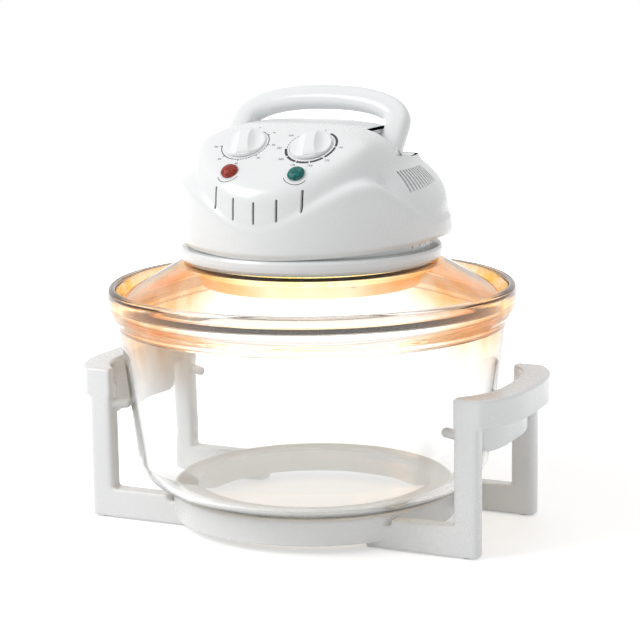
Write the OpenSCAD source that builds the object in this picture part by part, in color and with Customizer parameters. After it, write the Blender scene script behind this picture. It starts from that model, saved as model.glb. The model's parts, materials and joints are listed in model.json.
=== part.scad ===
// Halogen oven: a round glass bowl on a stand, closed by a glass lid that carries the heater head.
// Z is up, the control panel faces -Y and the two grips of the stand are on +X and -X.
// The origin is on the table, under the centre of the bowl. Sizes are in millimetres.

/* [Bowl] */
// Outer radius of the rolled rim
rim_r = 167.8; // [160:0.1:176]
// Height of the top of the rim
rim_z = 199; // [190:1:210]
// Underside of the glass bottom
bowl_z = 26; // [24:1:30]
// Thickness of the bowl wall
bowl_wall = 5; // [4:0.5:6]

/* [Stand] */
// Outer radius of the base ring
ring_r = 118.5; // [112:0.5:122]
// Height of the base ring
ring_h = 21; // [16:1:22]
// Distance from the middle to the outer face of an arm
arm_y = 74.5; // [72:0.5:78]
// Distance from the middle to the outer face of a post
post_x = 172; // [170:1:176]
// Width and depth of a post
post_size = [20.5, 15.5]; // [14:0.5:22]
// How far a grip reaches out
grip_x = 195; // [190:1:204]
// Height of the top of a grip
grip_z = 127; // [122:1:132]

/* [Lid] */
// Outer radius of the lid glass
lid_r = 157.6; // [156:0.1:158]
// Height of the clamped inner part of the lid glass
lid_top_z = 218; // [214:1:222]
// Thickness of the lid glass
lid_glass = 5; // [4:0.5:6]

/* [Head] */
// Mean radius of the skirt of the housing
skirt_r = 110; // [106:0.5:114]
// Half width and half depth of the raised hood
hood_half = [88.5, 106]; // [80:0.5:110]
// Height of the flat top of the hood
hood_z = 330.5; // [322:0.5:336]
// Wall thickness of the housing
shell = 3; // [2.5:0.5:4]
// Tilt of the control panel, up from the horizontal
panel_tilt = 33; // [28:1:38]

/* [Handle] */
// Half distance between the arms of the carrying handle
handle_x = 69; // [66:1:72]
// Pivot of the handle, Y and Z
handle_pivot = [-6.2, 297]; // [-10:0.1:300]
// Length of the handle from its pivot to the middle of the bar
handle_reach = 66; // [60:1:72]
// Angle of the lowered handle above the horizontal
handle_lean = 48; // [40:1:55]
// Swing from lowered to upright
handle_swing = 42; // [35:1:50]

/* [Controls] */
// Half distance between the two dials
dial_x = 28.7; // [27:0.1:31]
// Radius of a knob
knob_r = 16.8; // [14:0.2:17.4]
// Travel of the safety switch plunger
plunger_travel = 3; // [2:0.1:4]

/* [Hidden] */
$fn = 48;

white = [0.93, 0.94, 0.94];
steel = [0.72, 0.73, 0.75];
gap = 0.3;        // between pieces that lift apart
far = 10000;      // stands for no limit in a direction
grip_h = 23;      // height of a grip
lip_z = 80;       // lower edge of the lip under a grip
lip_half = 52;    // half length of that lip
ring_z = 7;       // underside of the base ring
foot_h = 4;       // feet, let into the posts
foot_r = 4.2;
frame_z = 1;      // underside of the grip frames
arm_h = 25;       // top of the arms
arm_w = 15.5;     // depth of an arm
arm_x = 100;      // where an arm's low tongue ends
tongue_x = 78;    // inner end of a tongue
tongue_h = 20;
screw_r = 1.6;
stand_screw_top = 24;
post_mid = post_x - post_size[0] / 2;
pad_r = 4;        // pads that steady the bowl
pad_y = arm_y - post_size[1] / 2;
pad_z = 97;
pad_tilt = 23.8;
pad_reach = 9.8;  // from the post to the middle of a pad's round end
ledge_z = 183.2;  // ledge for the lid inside the bowl's rim
seal_h = 1.2;
lower_ring_z = lid_top_z + seal_h;
neck_r = 98.8;    // neck of the lower ring, inside the housing's skirt
collar_r = 80;    // bore of the clamp collar's sleeve
collar_z = 206;   // lower edge of the clamp collar
collar_screw_at = 82.8;
guard_z = 195.5;  // underside of the fan guard
guard_screw_at = 92.4;
lamp_r = 66;      // middle of the lamp's ring
lamp_tube_r = 4.8;
lamp_z = 203.5;
lamp_end = 10;    // angle from the front at which the lamp's ends turn up
lamp_end_z = 210;
reflector_z = 214;
shield_z = 240;   // insulating plate that carries the motor
shield_t = 2;
shield_screw_at = 84;
stator_z = shield_z + 6;
stator_h = 16;
circulation_z = 206;
cooling_z = 270.5;
polar_z = 250;    // centre from which the housing's surface is measured
dial_at = [-58.9, 314.6];   // middle of a dial, Y and Z
panel_normal = panel_tilt - 2;
panel_reach = 87.4;         // distance of the panel's plane from the polar centre
lens_at = [-87.4, 296.1];   // middle of a lens, Y and Z
lens_tilt = 40;
knob_lift = 0.9;
recess_z = 0.35;  // floor of the round recess under a knob
knob_turn = 16;   // angle at which the knobs' bars stand
inlet_at = [116.3, 262];    // outer face of the mains inlet's body, Y and Z
shaft_r = 2.5;
fit_gap = 0.06;   // running fit of a shaft or pin, on the radius
hub_half = 9;     // half width of a handle hub
hub_top = 11.5;   // where a hub ends and the arm begins
arm_straight = 38;
pin_r = 3;
bracket_x = 43;
cam_r = 11;
cam_x = 50;
cam_w = 4;
plunger_r = 1.6;
plunger_top = handle_pivot[1] - cam_r - gap;
switch_top = plunger_top - 6;
cam_mid = cam_x + cam_w / 2;

// Small shape helpers

function soft_min(values, k) = pow(add([for (v = values) pow(v, -k)]), -1 / k);
function soft_max(values, k) = pow(add([for (v = values) pow(v, k)]), 1 / k);
function add(list) = [for (v = list) 1] * list;
function quad(a, b, c, d) = [[a, b, c], [a, c, d]];
function clamp01(t) = min(max(t, 0), 1);

// A tube or ring from its inner and outer radius and its two heights
module ring(r_in, r_out, z0, z1) {
    rotate_extrude()
        translate([r_in, z0])
            square([r_out - r_in, z1 - z0]);
}

// A flat outline with round corners, true arcs
module round_rect(w, d, r) {
    translate([-w / 2 + r, -d / 2]) square([w - 2 * r, d]);
    translate([-w / 2, -d / 2 + r]) square([w, d - 2 * r]);
    for (x = [-1, 1], y = [-1, 1])
        translate([x * (w / 2 - r), y * (d / 2 - r)]) circle(r);
}

// Copies on a circle, the first at angle `start`
module around(count, r, start = 0) {
    for (i = [0 : count - 1])
        rotate([0, 0, start + i * 360 / count])
            translate([r, 0, 0])
                children();
}

// A pan-head screw that points up, with its head's underside at z = 0
module screw_up(r, length, head_r, head_h) {
    translate([0, 0, -head_h]) cylinder(r = head_r, h = head_h);
    cylinder(r = r, h = length);
}

// Places children on the panel: x across, then out along the panel's normal
module on_panel(x, at, tilt) {
    translate([x, at[0], at[1]])
        rotate([tilt, 0, 0])
            children();
}

module mirrored_pair() {
    children();
    mirror([1, 0, 0]) children();
}

// Stand

module base_ring() {
    color(white)
        difference() {
            rotate_extrude()
                difference() {
                    union() {
                        translate([97, ring_z]) square([ring_r - 97, ring_h - 3]);
                        translate([97, ring_z]) square([ring_r - 100, ring_h]);
                        translate([ring_r - 3, ring_z + ring_h - 3]) circle(3);
                    }
                    bowl_outline(gap);
                }
            for (side = [-1, 1])
                arm_socket(side);
            at_stand_screws() translate([0, 0, -1]) cylinder(r = screw_r, h = stand_screw_top + 1);
        }
}

// Recess in the base ring that takes the inner ends of one side's arms
module arm_socket(side) {
    for (y = [-1, 1])
        mirror([side < 0 ? 1 : 0, 0, 0])
            arm_and_tongue(y, 0);
}

// One arm of a grip frame, with the lower tongue that slides under the base ring
module arm_and_tongue(y, z0) {
    y0 = y * (arm_y - arm_w / 2) - arm_w / 2;
    translate([tongue_x, y0, z0]) cube([arm_x - tongue_x, arm_w, tongue_h - z0]);
    translate([arm_x, y0, z0]) cube([post_mid - arm_x, arm_w, arm_h - z0]);
}

module at_stand_screws() {
    for (x = [-1, 1], y = [-1, 1])
        translate([x * 86, y * (arm_y - arm_w / 2), 0])
            children();
}

// One grip frame: two arms, two posts, a bowed grip and the lip under it
module side_frame(side) {
    mirror([side < 0 ? 1 : 0, 0, 0])
        color(white)
            difference() {
                union() {
                    for (y = [-1, 1]) {
                        arm_and_tongue(y, frame_z);
                        translate([post_mid, y * pad_y, frame_z])
                            linear_extrude(grip_z - 14 - frame_z)
                                round_rect(post_size[0], post_size[1], 5);
                    }
                    translate([0, 0, grip_z - grip_h]) linear_extrude(grip_h) grip_plan();
                    translate([0, 0, lip_z]) linear_extrude(grip_z - grip_h + 2 - lip_z) lip_plan();
                }
                at_stand_screws() cylinder(r = screw_r, h = stand_screw_top);
                at_feet() cylinder(r = foot_r, h = foot_h);
                at_pads() pad();
            }
}

// Outer and inner edge of a grip at the distance y from its middle
function grip_out(y) =
    post_x - 1 + (grip_x - post_x + 1) * pow(1 - pow(abs(y) / (arm_y + 1.5), 3), 0.83);
function grip_in(y) =
    post_x - post_size[0] * pow(min(abs(y) / (arm_y - 8.5), 1), 3.3);

module grip_plan() {
    half = arm_y;
    polygon(concat(
        [for (i = [-12 : 12]) [grip_out(half * i / 12), half * i / 12]],
        [[post_x - post_size[0], half]],
        [for (i = [11 : -1 : -11]) [grip_in((half - 8.5) * i / 11), (half - 8.5) * i / 11]],
        [[post_x - post_size[0], -half]]
    ));
}

module lip_plan() {
    polygon(concat(
        [for (i = [-8 : 8]) [grip_in(lip_half * i / 8) + 5, lip_half * i / 8]],
        [for (i = [8 : -1 : -8]) [grip_in(lip_half * i / 8), lip_half * i / 8]]
    ));
}

module side_frame_left() side_frame(-1);
module side_frame_right() side_frame(1);

// Filled outline of the bowl's outside, grown by `g`
module bowl_outline(g) {
    translate([0, bowl_z - g]) square([96, 60]);
    translate([96, 58]) scale([1, 32 / 50]) circle(50 + g * 1.5, $fn = 96);
    polygon([[0, 58], [146 + g, 58], [160.5 + g, 168], [0, 168]]);
}

module at_pads() {
    mirrored_pair()
        for (y = [-1, 1])
            translate([post_x - post_size[0], y * pad_y, pad_z])
                rotate([0, 0, y * pad_tilt])
                    rotate([0, -90, 0])
                        children();
}

// A rounded pad, let 2 mm into its post, that steadies the bowl
module pad() {
    translate([0, 0, -2]) cylinder(r = pad_r, h = pad_reach + 2);
    translate([0, 0, pad_reach]) sphere(pad_r);
}

module bowl_pads() {
    color([0.85, 0.86, 0.86])
        at_pads() pad();
}

module at_feet() {
    for (x = [-1, 1], y = [-1, 1])
        translate([x * post_mid, y * pad_y, 0])
            children();
}

module feet() {
    color([0.6, 0.6, 0.6])
        at_feet() cylinder(r = foot_r, h = foot_h);
}

module stand_screws() {
    color(steel)
        at_stand_screws()
            translate([0, 0, frame_z])
                screw_up(screw_r, stand_screw_top - frame_z, 3, 0.6);
}

// Bowl

module glass_bowl() {
    color([0.85, 0.93, 0.95, 0.35])
        rotate_extrude($fn = 128)
            difference() {
                union() {
                    bowl_outline(0);
                    rim_profile();
                }
                bowl_hollow();
            }
}

// Rolled rim outside, ledge for the lid inside
module rim_profile() {
    polygon([[150, 150], [158.9, 156], [160.5, 168], [161.2, 171], [164.3, 174.6], [167.4, 181],
        [rim_r, 190], [rim_r - 0.6, 194], [rim_r - 2.4, rim_z - 1.6], [rim_r - 4.6, rim_z],
        [rim_r - 6.5, rim_z - 0.4], [159.4, rim_z - 3], [158.3, ledge_z], [150, ledge_z]]);
}

module bowl_hollow() {
    floor_z = bowl_z + bowl_wall;
    polygon([[0, floor_z], [96, floor_z], [96, 58], [146 - bowl_wall, 58], [154.4, 168],
        [154.8, ledge_z], [0, ledge_z]]);
    intersection() {
        translate([96, 58]) scale([1, 27 / 45]) circle(45, $fn = 96);
        translate([95, floor_z - 1]) square([60, 60 - floor_z]);
    }
}

// Lid

module glass_lid() {
    z0 = ledge_z + gap;
    color([0.9, 0.75, 0.6, 0.4])
        rotate_extrude($fn = 128)
            polygon([[lid_r, z0], [lid_r, z0 + 4.2], [lid_r - 2.5, z0 + 6.4],
                [105, lid_top_z], [86, lid_top_z], [86, lid_top_z - lid_glass],
                [103.6, lid_top_z - lid_glass], [lid_r - 5, z0]]);
}

module lid_seal() {
    color([0.75, 0.74, 0.7])
        ring(89, 103, lid_top_z, lower_ring_z);
}

// Plastic ring under the housing, with a row of small vents round the back
module lower_ring() {
    z0 = lower_ring_z;
    vent_step = 6.75;
    color(white)
        difference() {
            rotate_extrude()
                polygon([[collar_r, z0], [104.5, z0], [106.6, z0 + 2], [107, z0 + 5], [107, z0 + 8.5],
                    [105.8, z0 + 10.6], [103, z0 + 11.3], [neck_r, z0 + 11.5], [neck_r, z0 + 28],
                    [neck_r - 2.8, z0 + 28], [neck_r - 2.8, z0 + 4], [collar_r, z0 + 4]]);
            for (i = [0 : 30])
                rotate([0, 0, -11 + i * vent_step])
                    translate([neck_r - 5, 0, z0 + 15.3])
                        rotate([0, 90, 0])
                            cylinder(r = 2.3, h = 8, $fn = 3);
            around(6, collar_screw_at, 15) translate([0, 0, z0 - 1]) cylinder(r = 1.6, h = 6);
            around(4, shield_screw_at) translate([0, 0, z0 + 1.8]) cylinder(r = 1.5, h = 4);
        }
}

// Polished collar that clamps the lid glass from below
module clamp_collar() {
    z1 = lid_top_z - lid_glass;
    color(steel)
        difference() {
            union() {
                rotate_extrude()
                    polygon([[collar_r, lower_ring_z], [collar_r, z1 - 3], [93.6, z1 - 3], [93.6, collar_z],
                        [96, collar_z], [96, z1 - 2], [99, z1], [85.5, z1], [85.5, lower_ring_z]]);
                around(4, guard_screw_at, 45) translate([0, 0, collar_z]) cylinder(r = 2.8, h = 5);
            }
            around(6, collar_screw_at, 15) translate([0, 0, 200]) cylinder(r = 1.6, h = 60);
            around(4, guard_screw_at, 45) translate([0, 0, collar_z - 1]) cylinder(r = 1.3, h = 5.5);
        }
}

module collar_screws() {
    color(steel)
        around(6, collar_screw_at, 15)
            translate([0, 0, lid_top_z - lid_glass - 3])
                screw_up(1.6, 12, 2.4, 1.2);
}

module at_lamp_ends() {
    for (side = [-1, 1])
        rotate([0, 0, -90 + side * lamp_end])
            translate([lamp_r, 0, 0])
                children();
}

// Dished plate over the lamp
module reflector() {
    z0 = reflector_z;
    color([0.9, 0.88, 0.84])
        difference() {
            rotate_extrude()
                polygon([[9, z0], [58, z0], [collar_r, z0 - 3.4], [collar_r, z0 - 2.4], [58, z0 + 1],
                    [9, z0 + 1]]);
            at_lamp_ends() translate([0, 0, z0 - 9]) cylinder(r = 6, h = 12);
            around(3, lamp_r, 90) translate([0, 0, z0 - 9]) cylinder(r = 1.6, h = 12);
        }
}

// Ring-shaped lamp tube whose two ends turn up through the reflector
module halogen_lamp() {
    color([1, 0.85, 0.5]) {
        translate([0, 0, lamp_z])
            rotate([0, 0, -90 + lamp_end])
                rotate_extrude(angle = 360 - 2 * lamp_end, $fn = 96)
                    translate([lamp_r, 0])
                        circle(lamp_tube_r);
        at_lamp_ends()
            translate([0, 0, lamp_z - 3.4])
                cylinder(r = lamp_tube_r - 0.4, h = lamp_end_z - lamp_z + 3.4);
    }
}

module lamp_caps() {
    color([0.9, 0.88, 0.82])
        at_lamp_ends()
            translate([0, 0, lamp_end_z])
                cylinder(r = 5.6, h = 16);
}

// Three wire clips that hang the lamp from the reflector
module lamp_clips() {
    color(steel)
        around(3, lamp_r, 90)
            translate([0, 0, lamp_z + lamp_tube_r]) {
                cylinder(r = 1.4, h = 9.5);
                translate([0, 0, 6.2]) cylinder(r = 3, h = 1);
            }
}

// Perforated tray under the lamp and fan: a wall, five hoops and eight spokes
module fan_guard() {
    z0 = guard_z;
    color([0.87, 0.84, 0.8])
        difference() {
            union() {
                ring(88.4, 90, z0, collar_z);
                ring(84, 90, z0, z0 + 1.5);
                for (r = [14 : 14 : 70]) ring(r - 1, r + 1, z0, z0 + 1.5);
                for (i = [0 : 7])
                    rotate([0, 0, i * 45])
                        translate([0, -1.5, z0])
                            cube([86, 3, 1.5]);
                ring(88.4, 95.6, collar_z - 1, collar_z);
            }
            around(4, guard_screw_at, 45) translate([0, 0, 200]) cylinder(r = 1.3, h = 10);
        }
}

module guard_screws() {
    color(steel)
        around(4, guard_screw_at, 45)
            translate([0, 0, collar_z - 1])
                screw_up(1.3, 5.4, 2.2, 0.9);
}

// Insulating plate on four legs, which carries the motor
module heat_shield() {
    leg_z = lower_ring_z + 4;
    color([0.8, 0.78, 0.72])
        difference() {
            union() {
                translate([0, 0, shield_z]) cylinder(r = 88, h = shield_t);
                around(4, shield_screw_at) translate([0, 0, leg_z]) cylinder(r = 3.4, h = shield_z - leg_z);
            }
            translate([0, 0, shield_z - 1]) cylinder(r = 6, h = 4);
            around(4, shield_screw_at) translate([0, 0, 200]) cylinder(r = 1.5, h = 60);
        }
}

module shield_screws() {
    length = shield_z + shield_t - lower_ring_z - 2;
    color(steel)
        around(4, shield_screw_at)
            translate([0, 0, shield_z + shield_t])
                rotate([180, 0, 0])
                    screw_up(1.5, length, 2.8, 1);
}

module thermal_cutout() {
    color([0.2, 0.2, 0.22])
        translate([-60, 34, shield_z + shield_t]) {
            cylinder(r = 8, h = 4);
            cylinder(r = 6.5, h = 9);
        }
}

// Motor

// Laminated frame with the rotor's bore in front and the coil's window behind
module motor_stator() {
    color([0.45, 0.45, 0.48])
        translate([0, 8, stator_z])
            difference() {
                linear_extrude(stator_h)
                    difference() {
                        round_rect(54, 62, 3);
                        translate([0, 20]) square([30, 12], center = true);
                    }
                translate([0, -8, -1]) cylinder(r = 13.6, h = stator_h + 2);
                for (x = [-1, 1]) translate([x * 22, -8, -1]) cylinder(r = 1.6, h = stator_h + 2);
            }
}

module motor_coil() {
    color([0.72, 0.36, 0.16])
        translate([0, 28, stator_z - 3])
            linear_extrude(stator_h + 6)
                round_rect(29.2, 11.2, 3);
}

// Two bearing bridges, one under and one over the stator
module motor_brackets() {
    color(steel)
        difference() {
            union() {
                for (z = [stator_z - 2.5, stator_z + stator_h + 0.5])
                    translate([-28, -6, z]) cube([56, 12, 2]);
                translate([0, 0, stator_z - 2.5]) cylinder(r = 5, h = 2.6);
                translate([0, 0, stator_z + stator_h + 0.1]) cylinder(r = 5, h = 2.4);
                for (x = [-1, 1])
                    translate([x * 22, 0, shield_z + shield_t]) {
                        cylinder(r = 2.6, h = 2);
                        cylinder(r = 1.5, h = stator_h + 6.5);
                    }
            }
            translate([0, 0, 200]) cylinder(r = shaft_r + fit_gap, h = 100);
        }
}

module motor_rotor() {
    color([0.6, 0.6, 0.62])
        ring(shaft_r, 13, stator_z + 1.2, stator_z + stator_h - 1.2);
}

module motor_shaft() {
    color(steel)
        translate([0, 0, 198])
            cylinder(r = shaft_r, h = 78);
}

// Fan blades are flat plates set at a pitch about their own radius
module blades(count, r_in, r_out, width, pitch, thick) {
    for (i = [0 : count - 1])
        rotate([0, 0, i * 360 / count])
            rotate([pitch, 0, 0])
                translate([r_in, -width / 2, -thick / 2])
                    cube([r_out - r_in, width, thick]);
}

module circulation_fan() {
    color([0.8, 0.8, 0.82])
        translate([0, 0, circulation_z])
            difference() {
                union() {
                    translate([0, 0, -3.5]) cylinder(r = 10, h = 7);
                    blades(6, 8, 46, 18, 28, 1.2);
                }
                translate([0, 0, -10]) cylinder(r = shaft_r, h = 20);
            }
}

module cooling_fan() {
    color([0.75, 0.77, 0.78])
        translate([0, 0, cooling_z])
            difference() {
                union() {
                    translate([0, 0, -3]) cylinder(r = 9, h = 6.5);
                    blades(7, 7, 35, 14, 24, 1.2);
                }
                translate([0, 0, -10]) cylinder(r = shaft_r, h = 20);
            }
}

module fan_nut() {
    color(steel)
        translate([0, 0, 198.6])
            difference() {
                cylinder(r = 5, h = 3.9, $fn = 6);
                translate([0, 0, -1]) cylinder(r = shaft_r, h = 6, $fn = 48);
            }
}

// Housing. Its surface is star-shaped about a point on the axis at polar_z. Each form limits the
// distance from that point in a direction; forms are cut with soft_min and joined with soft_max.

// Radius of the skirt at an azimuth from the front
function skirt_at(phi) = skirt_r - 4 * cos(phi) - pow(cos(phi), 2);

// Height of the crest of the bumper: low in front, highest over each front corner
function ridge_at(phi) =
    let (p = abs(phi), low = 255, rise = 33, peak = 50, fall = 36)
        p < peak ? low + rise * pow(sin(90 * p / peak), 1.8)
                 : low + rise * pow(cos(90 * min((p - peak) / fall, 1)), 2);

// Lower edge of the skirt, which lifts towards the sides
function skirt_low(phi) = 231 + 9 * (1 - max(cos(phi), 0));

function plane_limit(distance, across) = across > 0.01 ? distance / across : far;

function hood_limit(d) =
    let (
        wall = 1 / norm([d[0] / hood_half[0], d[1] / hood_half[1]]),
        panel = plane_limit(panel_reach, -sin(panel_tilt) * d[1] + cos(panel_tilt) * d[2]),
        n = 3.4,
        crown = pow(pow(abs(d[0]) / 97, n) + pow(max(d[2], 0.001) / (hood_z - polar_z), n), -1 / n),
        back = plane_limit(59.4, 0.888 * d[1] + 0.46 * d[2])
    )
        soft_min([wall, panel, crown, back], 18);

function bumper_limit(phi, d) =
    let (
        c = norm([d[0], d[1]]),
        ledge = tan(18),
        top = (ridge_at(phi) - polar_z + skirt_at(phi) * ledge) / max(d[2] + c * ledge, 0.01)
    )
        soft_min([skirt_at(phi) / c, top], 26);

function rear_limit(phi, d) =
    let (
        c = norm([d[0], d[1]]),
        n = 2.6,
        bell = pow(pow(c / (skirt_at(phi) + 1.5), n) + pow(max(d[2], 0.001) / 64, n), -1 / n),
        deck = plane_limit(51.8, d[2]),
        front = plane_limit(45, -d[1])
    )
        soft_min([bell, deck, front], 22);

function direction(phi, e) =
    let (c = max(cos(e), 0.001))
        [c * sin(phi), -c * cos(phi), sin(e)];

function housing_reach(phi, e) =
    let (d = direction(phi, e))
        soft_max([hood_limit(d), bumper_limit(phi, d), rear_limit(phi, d)], 40);

// The skirt tucks in over its last few millimetres, and flares a little at the rear sides
function hem(phi, z) =
    let (side = clamp01((abs(phi) - 75) / 30) * (1 - clamp01((abs(phi) - 140) / 25)))
        1 - 0.02 * pow(clamp01((skirt_low(phi) + 5 - z) / 5), 2)
            + 0.03 * side * pow(clamp01((264 - z) / 26), 2);

function housing_point(phi, e, inset) =
    let (
        reach = housing_reach(phi, e),
        r = reach * hem(phi, polar_z + reach * sin(e)) - inset
    )
        [r * cos(e) * sin(phi), -r * cos(e) * cos(phi), polar_z + r * sin(e)];

function start_elevation(phi) = atan((skirt_low(phi) - polar_z) / (skirt_at(phi) * 0.98));

// Rows of points from the skirt's lower edge to just short of the top, then the top point
function housing_rows(rows, columns, inset) = [
    for (i = [0 : rows - 1], j = [0 : columns - 1])
        let (
            phi = j * 360 / columns - 180,
            e0 = start_elevation(phi)
        )
            housing_point(phi, e0 + (90 - e0) * i / rows, inset)
];

function skin_faces(rows, columns, base, top, outward) = [
    for (i = [0 : rows - 2], j = [0 : columns - 1])
        let (
            k = (j + 1) % columns,
            a = base + i * columns + j,
            b = base + i * columns + k,
            c = b + columns,
            d = a + columns
        )
            each (outward ? quad(a, d, c, b) : quad(a, b, c, d)),
    for (j = [0 : columns - 1])
        let (
            a = base + (rows - 1) * columns + j,
            b = base + (rows - 1) * columns + (j + 1) % columns
        )
            outward ? [a, top, b] : [a, b, top]
];

function edge_faces(columns, base_out, base_in) = [
    for (j = [0 : columns - 1])
        let (k = (j + 1) % columns)
            each quad(base_out + j, base_out + k, base_in + k, base_in + j)
];

// The housing's skin, or its solid outside form when `hollow` is false
module housing_skin(hollow, inset) {
    columns = 64;
    rows = 28;
    rows_in = hollow ? 9 : 1;
    outer = housing_rows(rows, columns, inset);
    inner = housing_rows(rows_in, columns, inset + shell);
    top_out = [[0, 0, polar_z + housing_reach(0, 90) - inset]];
    top_in = [[0, 0, hollow ? polar_z + housing_reach(0, 90) - inset - shell : 232]];
    n_out = rows * columns;
    n_in = rows_in * columns;
    polyhedron(
        points = concat(outer, inner, top_out, top_in),
        faces = concat(
            skin_faces(rows, columns, 0, n_out + n_in, true),
            skin_faces(rows_in, columns, n_out, n_out + n_in + 1, false),
            edge_faces(columns, 0, n_out)
        ),
        convexity = 6
    );
}

// Side view of the pocket that an arm of the handle swings in
module pocket_outline(grow) {
    y0 = handle_pivot[0];
    z0 = handle_pivot[1];
    polygon([[y0 - 12.5 - grow, z0 - 12.5 - grow], [y0 + 12.7 + grow, z0 - 12.5 - grow],
        [y0 + 19 + grow, z0 + 5.6 - grow], [70, z0 + 5.6 - grow], [70, 350], [y0 - 12.5 - grow, 350]]);
}

module pocket(grow) {
    half = 11.5 + grow;
    translate([handle_x - half, 0, 0])
        rotate([90, 0, 90])
            linear_extrude(2 * half)
                pocket_outline(grow);
}

// Space outside a pocket, over the low shoulder beside the arm
module shoulder(grow) {
    y0 = handle_pivot[0] - 12.5 - grow;
    z0 = handle_pivot[1] - grow;
    translate([handle_x, 0, 0])
        rotate([90, 0, 90])
            linear_extrude(40)
                polygon([[y0, z0 + 8.4], [handle_pivot[0] + 19, z0 + 5.5], [72, z0 + 5.5], [72, 350],
                    [y0, 350]]);
}

// Posts under the panel that the control bracket is screwed to
module at_panel_posts() {
    mirrored_pair()
        for (y = [-1, 1])
            on_panel(45, dial_at, panel_normal)
                translate([0, y * 14, -7.8])
                    children();
}

// A thin rod that points outward at azimuth phi, for cutting slots
module radial_rod(phi, z, r) {
    rotate([0, 0, phi - 90])
        translate([80, 0, z])
            rotate([0, 90, 0])
                cylinder(r = r, h = 50, $fn = 4);
}

module front_slots() {
    for (x = [-37, -18.5, 0, 18.5, 37]) {
        mid = 267 + 9.8 * pow(x / 37, 2);
        hull()
            for (s = [-1, 1])
                translate([x, -85, mid + s * 7.6])
                    rotate([90, 0, 0])
                        cylinder(r = 1, h = 35, $fn = 6);
    }
}

module side_vents() {
    for (i = [0 : 10])
        hull() {
            radial_rod(72.5 + i * 2.4, 294.5 + i * 0.1, 0.9);
            radial_rod(73.5 + i * 2.45, 278.5 + i * 0.45, 0.9);
        }
}

module upper_housing() {
    color(white)
        difference() {
            union() {
                housing_skin(true, 0);
                intersection() {
                    housing_skin(false, 0.8);
                    union() {
                        mirrored_pair() {
                            pocket(2);
                            shoulder(2);
                        }
                        at_panel_posts() cylinder(r = 2.6, h = 10);
                    }
                }
            }
            mirrored_pair() {
                pocket(0);
                shoulder(0);
                side_vents();
                translate([40, handle_pivot[0], handle_pivot[1]])
                    rotate([0, 90, 0])
                        cylinder(r = 6.5, h = 30);
                on_panel(dial_x, dial_at, panel_normal) {
                    cylinder(r = 4.5, h = 30, center = true);
                    translate([0, 0, recess_z]) cylinder(r = knob_r + 1.2, h = 12);
                }
                on_panel(dial_x, lens_at, lens_tilt) cylinder(r = 6.3, h = 30, center = true);
            }
            front_slots();
            translate([0, 96, inlet_at[1]]) cube([29, 60, 22], center = true);
        }
}

// Controls

module control_bracket() {
    color(steel)
        on_panel(0, dial_at, panel_normal)
            translate([0, 0, -9])
                difference() {
                    linear_extrude(1.2) round_rect(100, 36, 3);
                    for (x = [-1, 1])
                        translate([x * dial_x, 0, -1]) cylinder(r = 4.5, h = 4);
                }
}

module control_body(x, w, h) {
    on_panel(x, dial_at, panel_normal)
        translate([0, 0, -9.3 - h])
            difference() {
                linear_extrude(h) round_rect(w, 34, 3);
                translate([0, 0, h - 8]) cylinder(r = 3 + fit_gap, h = 9);
            }
}

module control_shaft(x) {
    color(steel)
        on_panel(x, dial_at, panel_normal)
            translate([0, 0, -17])
                cylinder(r = 3, h = 20.4);
}

// Knob: a domed disc with a raised bar, bored for its shaft
module control_knob(x) {
    color(white)
        on_panel(x, dial_at, panel_normal)
            translate([0, 0, knob_lift])
                difference() {
                    union() {
                        rotate_extrude()
                            polygon([[0, 0], [knob_r, 0], [knob_r, 2], [knob_r - 1.2, 2.8],
                                [knob_r - 5, 3.4], [0, 4.4]]);
                        rotate([0, 0, knob_turn])
                            translate([0, 0, 2]) linear_extrude(4.4) round_rect(8.3, 2 * knob_r - 3, 3);
                    }
                    translate([0, 0, -1]) cylinder(r = 3, h = 4.6);
                }
}

module timer_body() { color([0.78, 0.76, 0.7]) control_body(-dial_x, 40, 20); }
module thermostat_body() { color([0.85, 0.84, 0.8]) control_body(dial_x, 34, 18); }
module timer_shaft() control_shaft(-dial_x);
module thermostat_shaft() control_shaft(dial_x);
module timer_knob() control_knob(-dial_x);
module thermostat_knob() control_knob(dial_x);

module lens(x, tint) {
    color(tint)
        on_panel(x, lens_at, lens_tilt)
            rotate_extrude()
                polygon([[0, -6], [6, -6], [6, 1], [7, 1], [7, 1.8], [6.2, 3], [4.4, 4.1], [2.2, 4.7],
                    [0, 4.9]]);
}

module power_lens() lens(-dial_x, [0.7, 0.15, 0.1]);
module heat_lens() lens(dial_x, [0.05, 0.5, 0.45]);

module pilot_lamps() {
    color([0.9, 0.9, 0.9])
        for (x = [-1, 1])
            on_panel(x * dial_x, lens_at, lens_tilt)
                translate([0, 0, -18])
                    cylinder(r = 3.6, h = 12);
}

// Handle. Its loop lies in one plane through the pivot axis; s runs up that plane.

// Points of the loop's centre line: straight arms joined by a superellipse arch
function loop_point(t) =
    let (
        n = 2.25,
        a = 180 * t,
        cx = cos(a),
        sy = sin(a)
    )
        [handle_x * sign(cx) * pow(abs(cx), 2 / n),
         arm_straight + (handle_reach - arm_straight) * pow(abs(sy), 2 / n)];

function loop_path() = concat(
    [for (s = [hub_top, 24]) [handle_x, s]],
    [for (i = [0 : 36]) loop_point(i / 36)],
    [for (s = [24, hub_top]) [-handle_x, s]]
);

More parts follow.
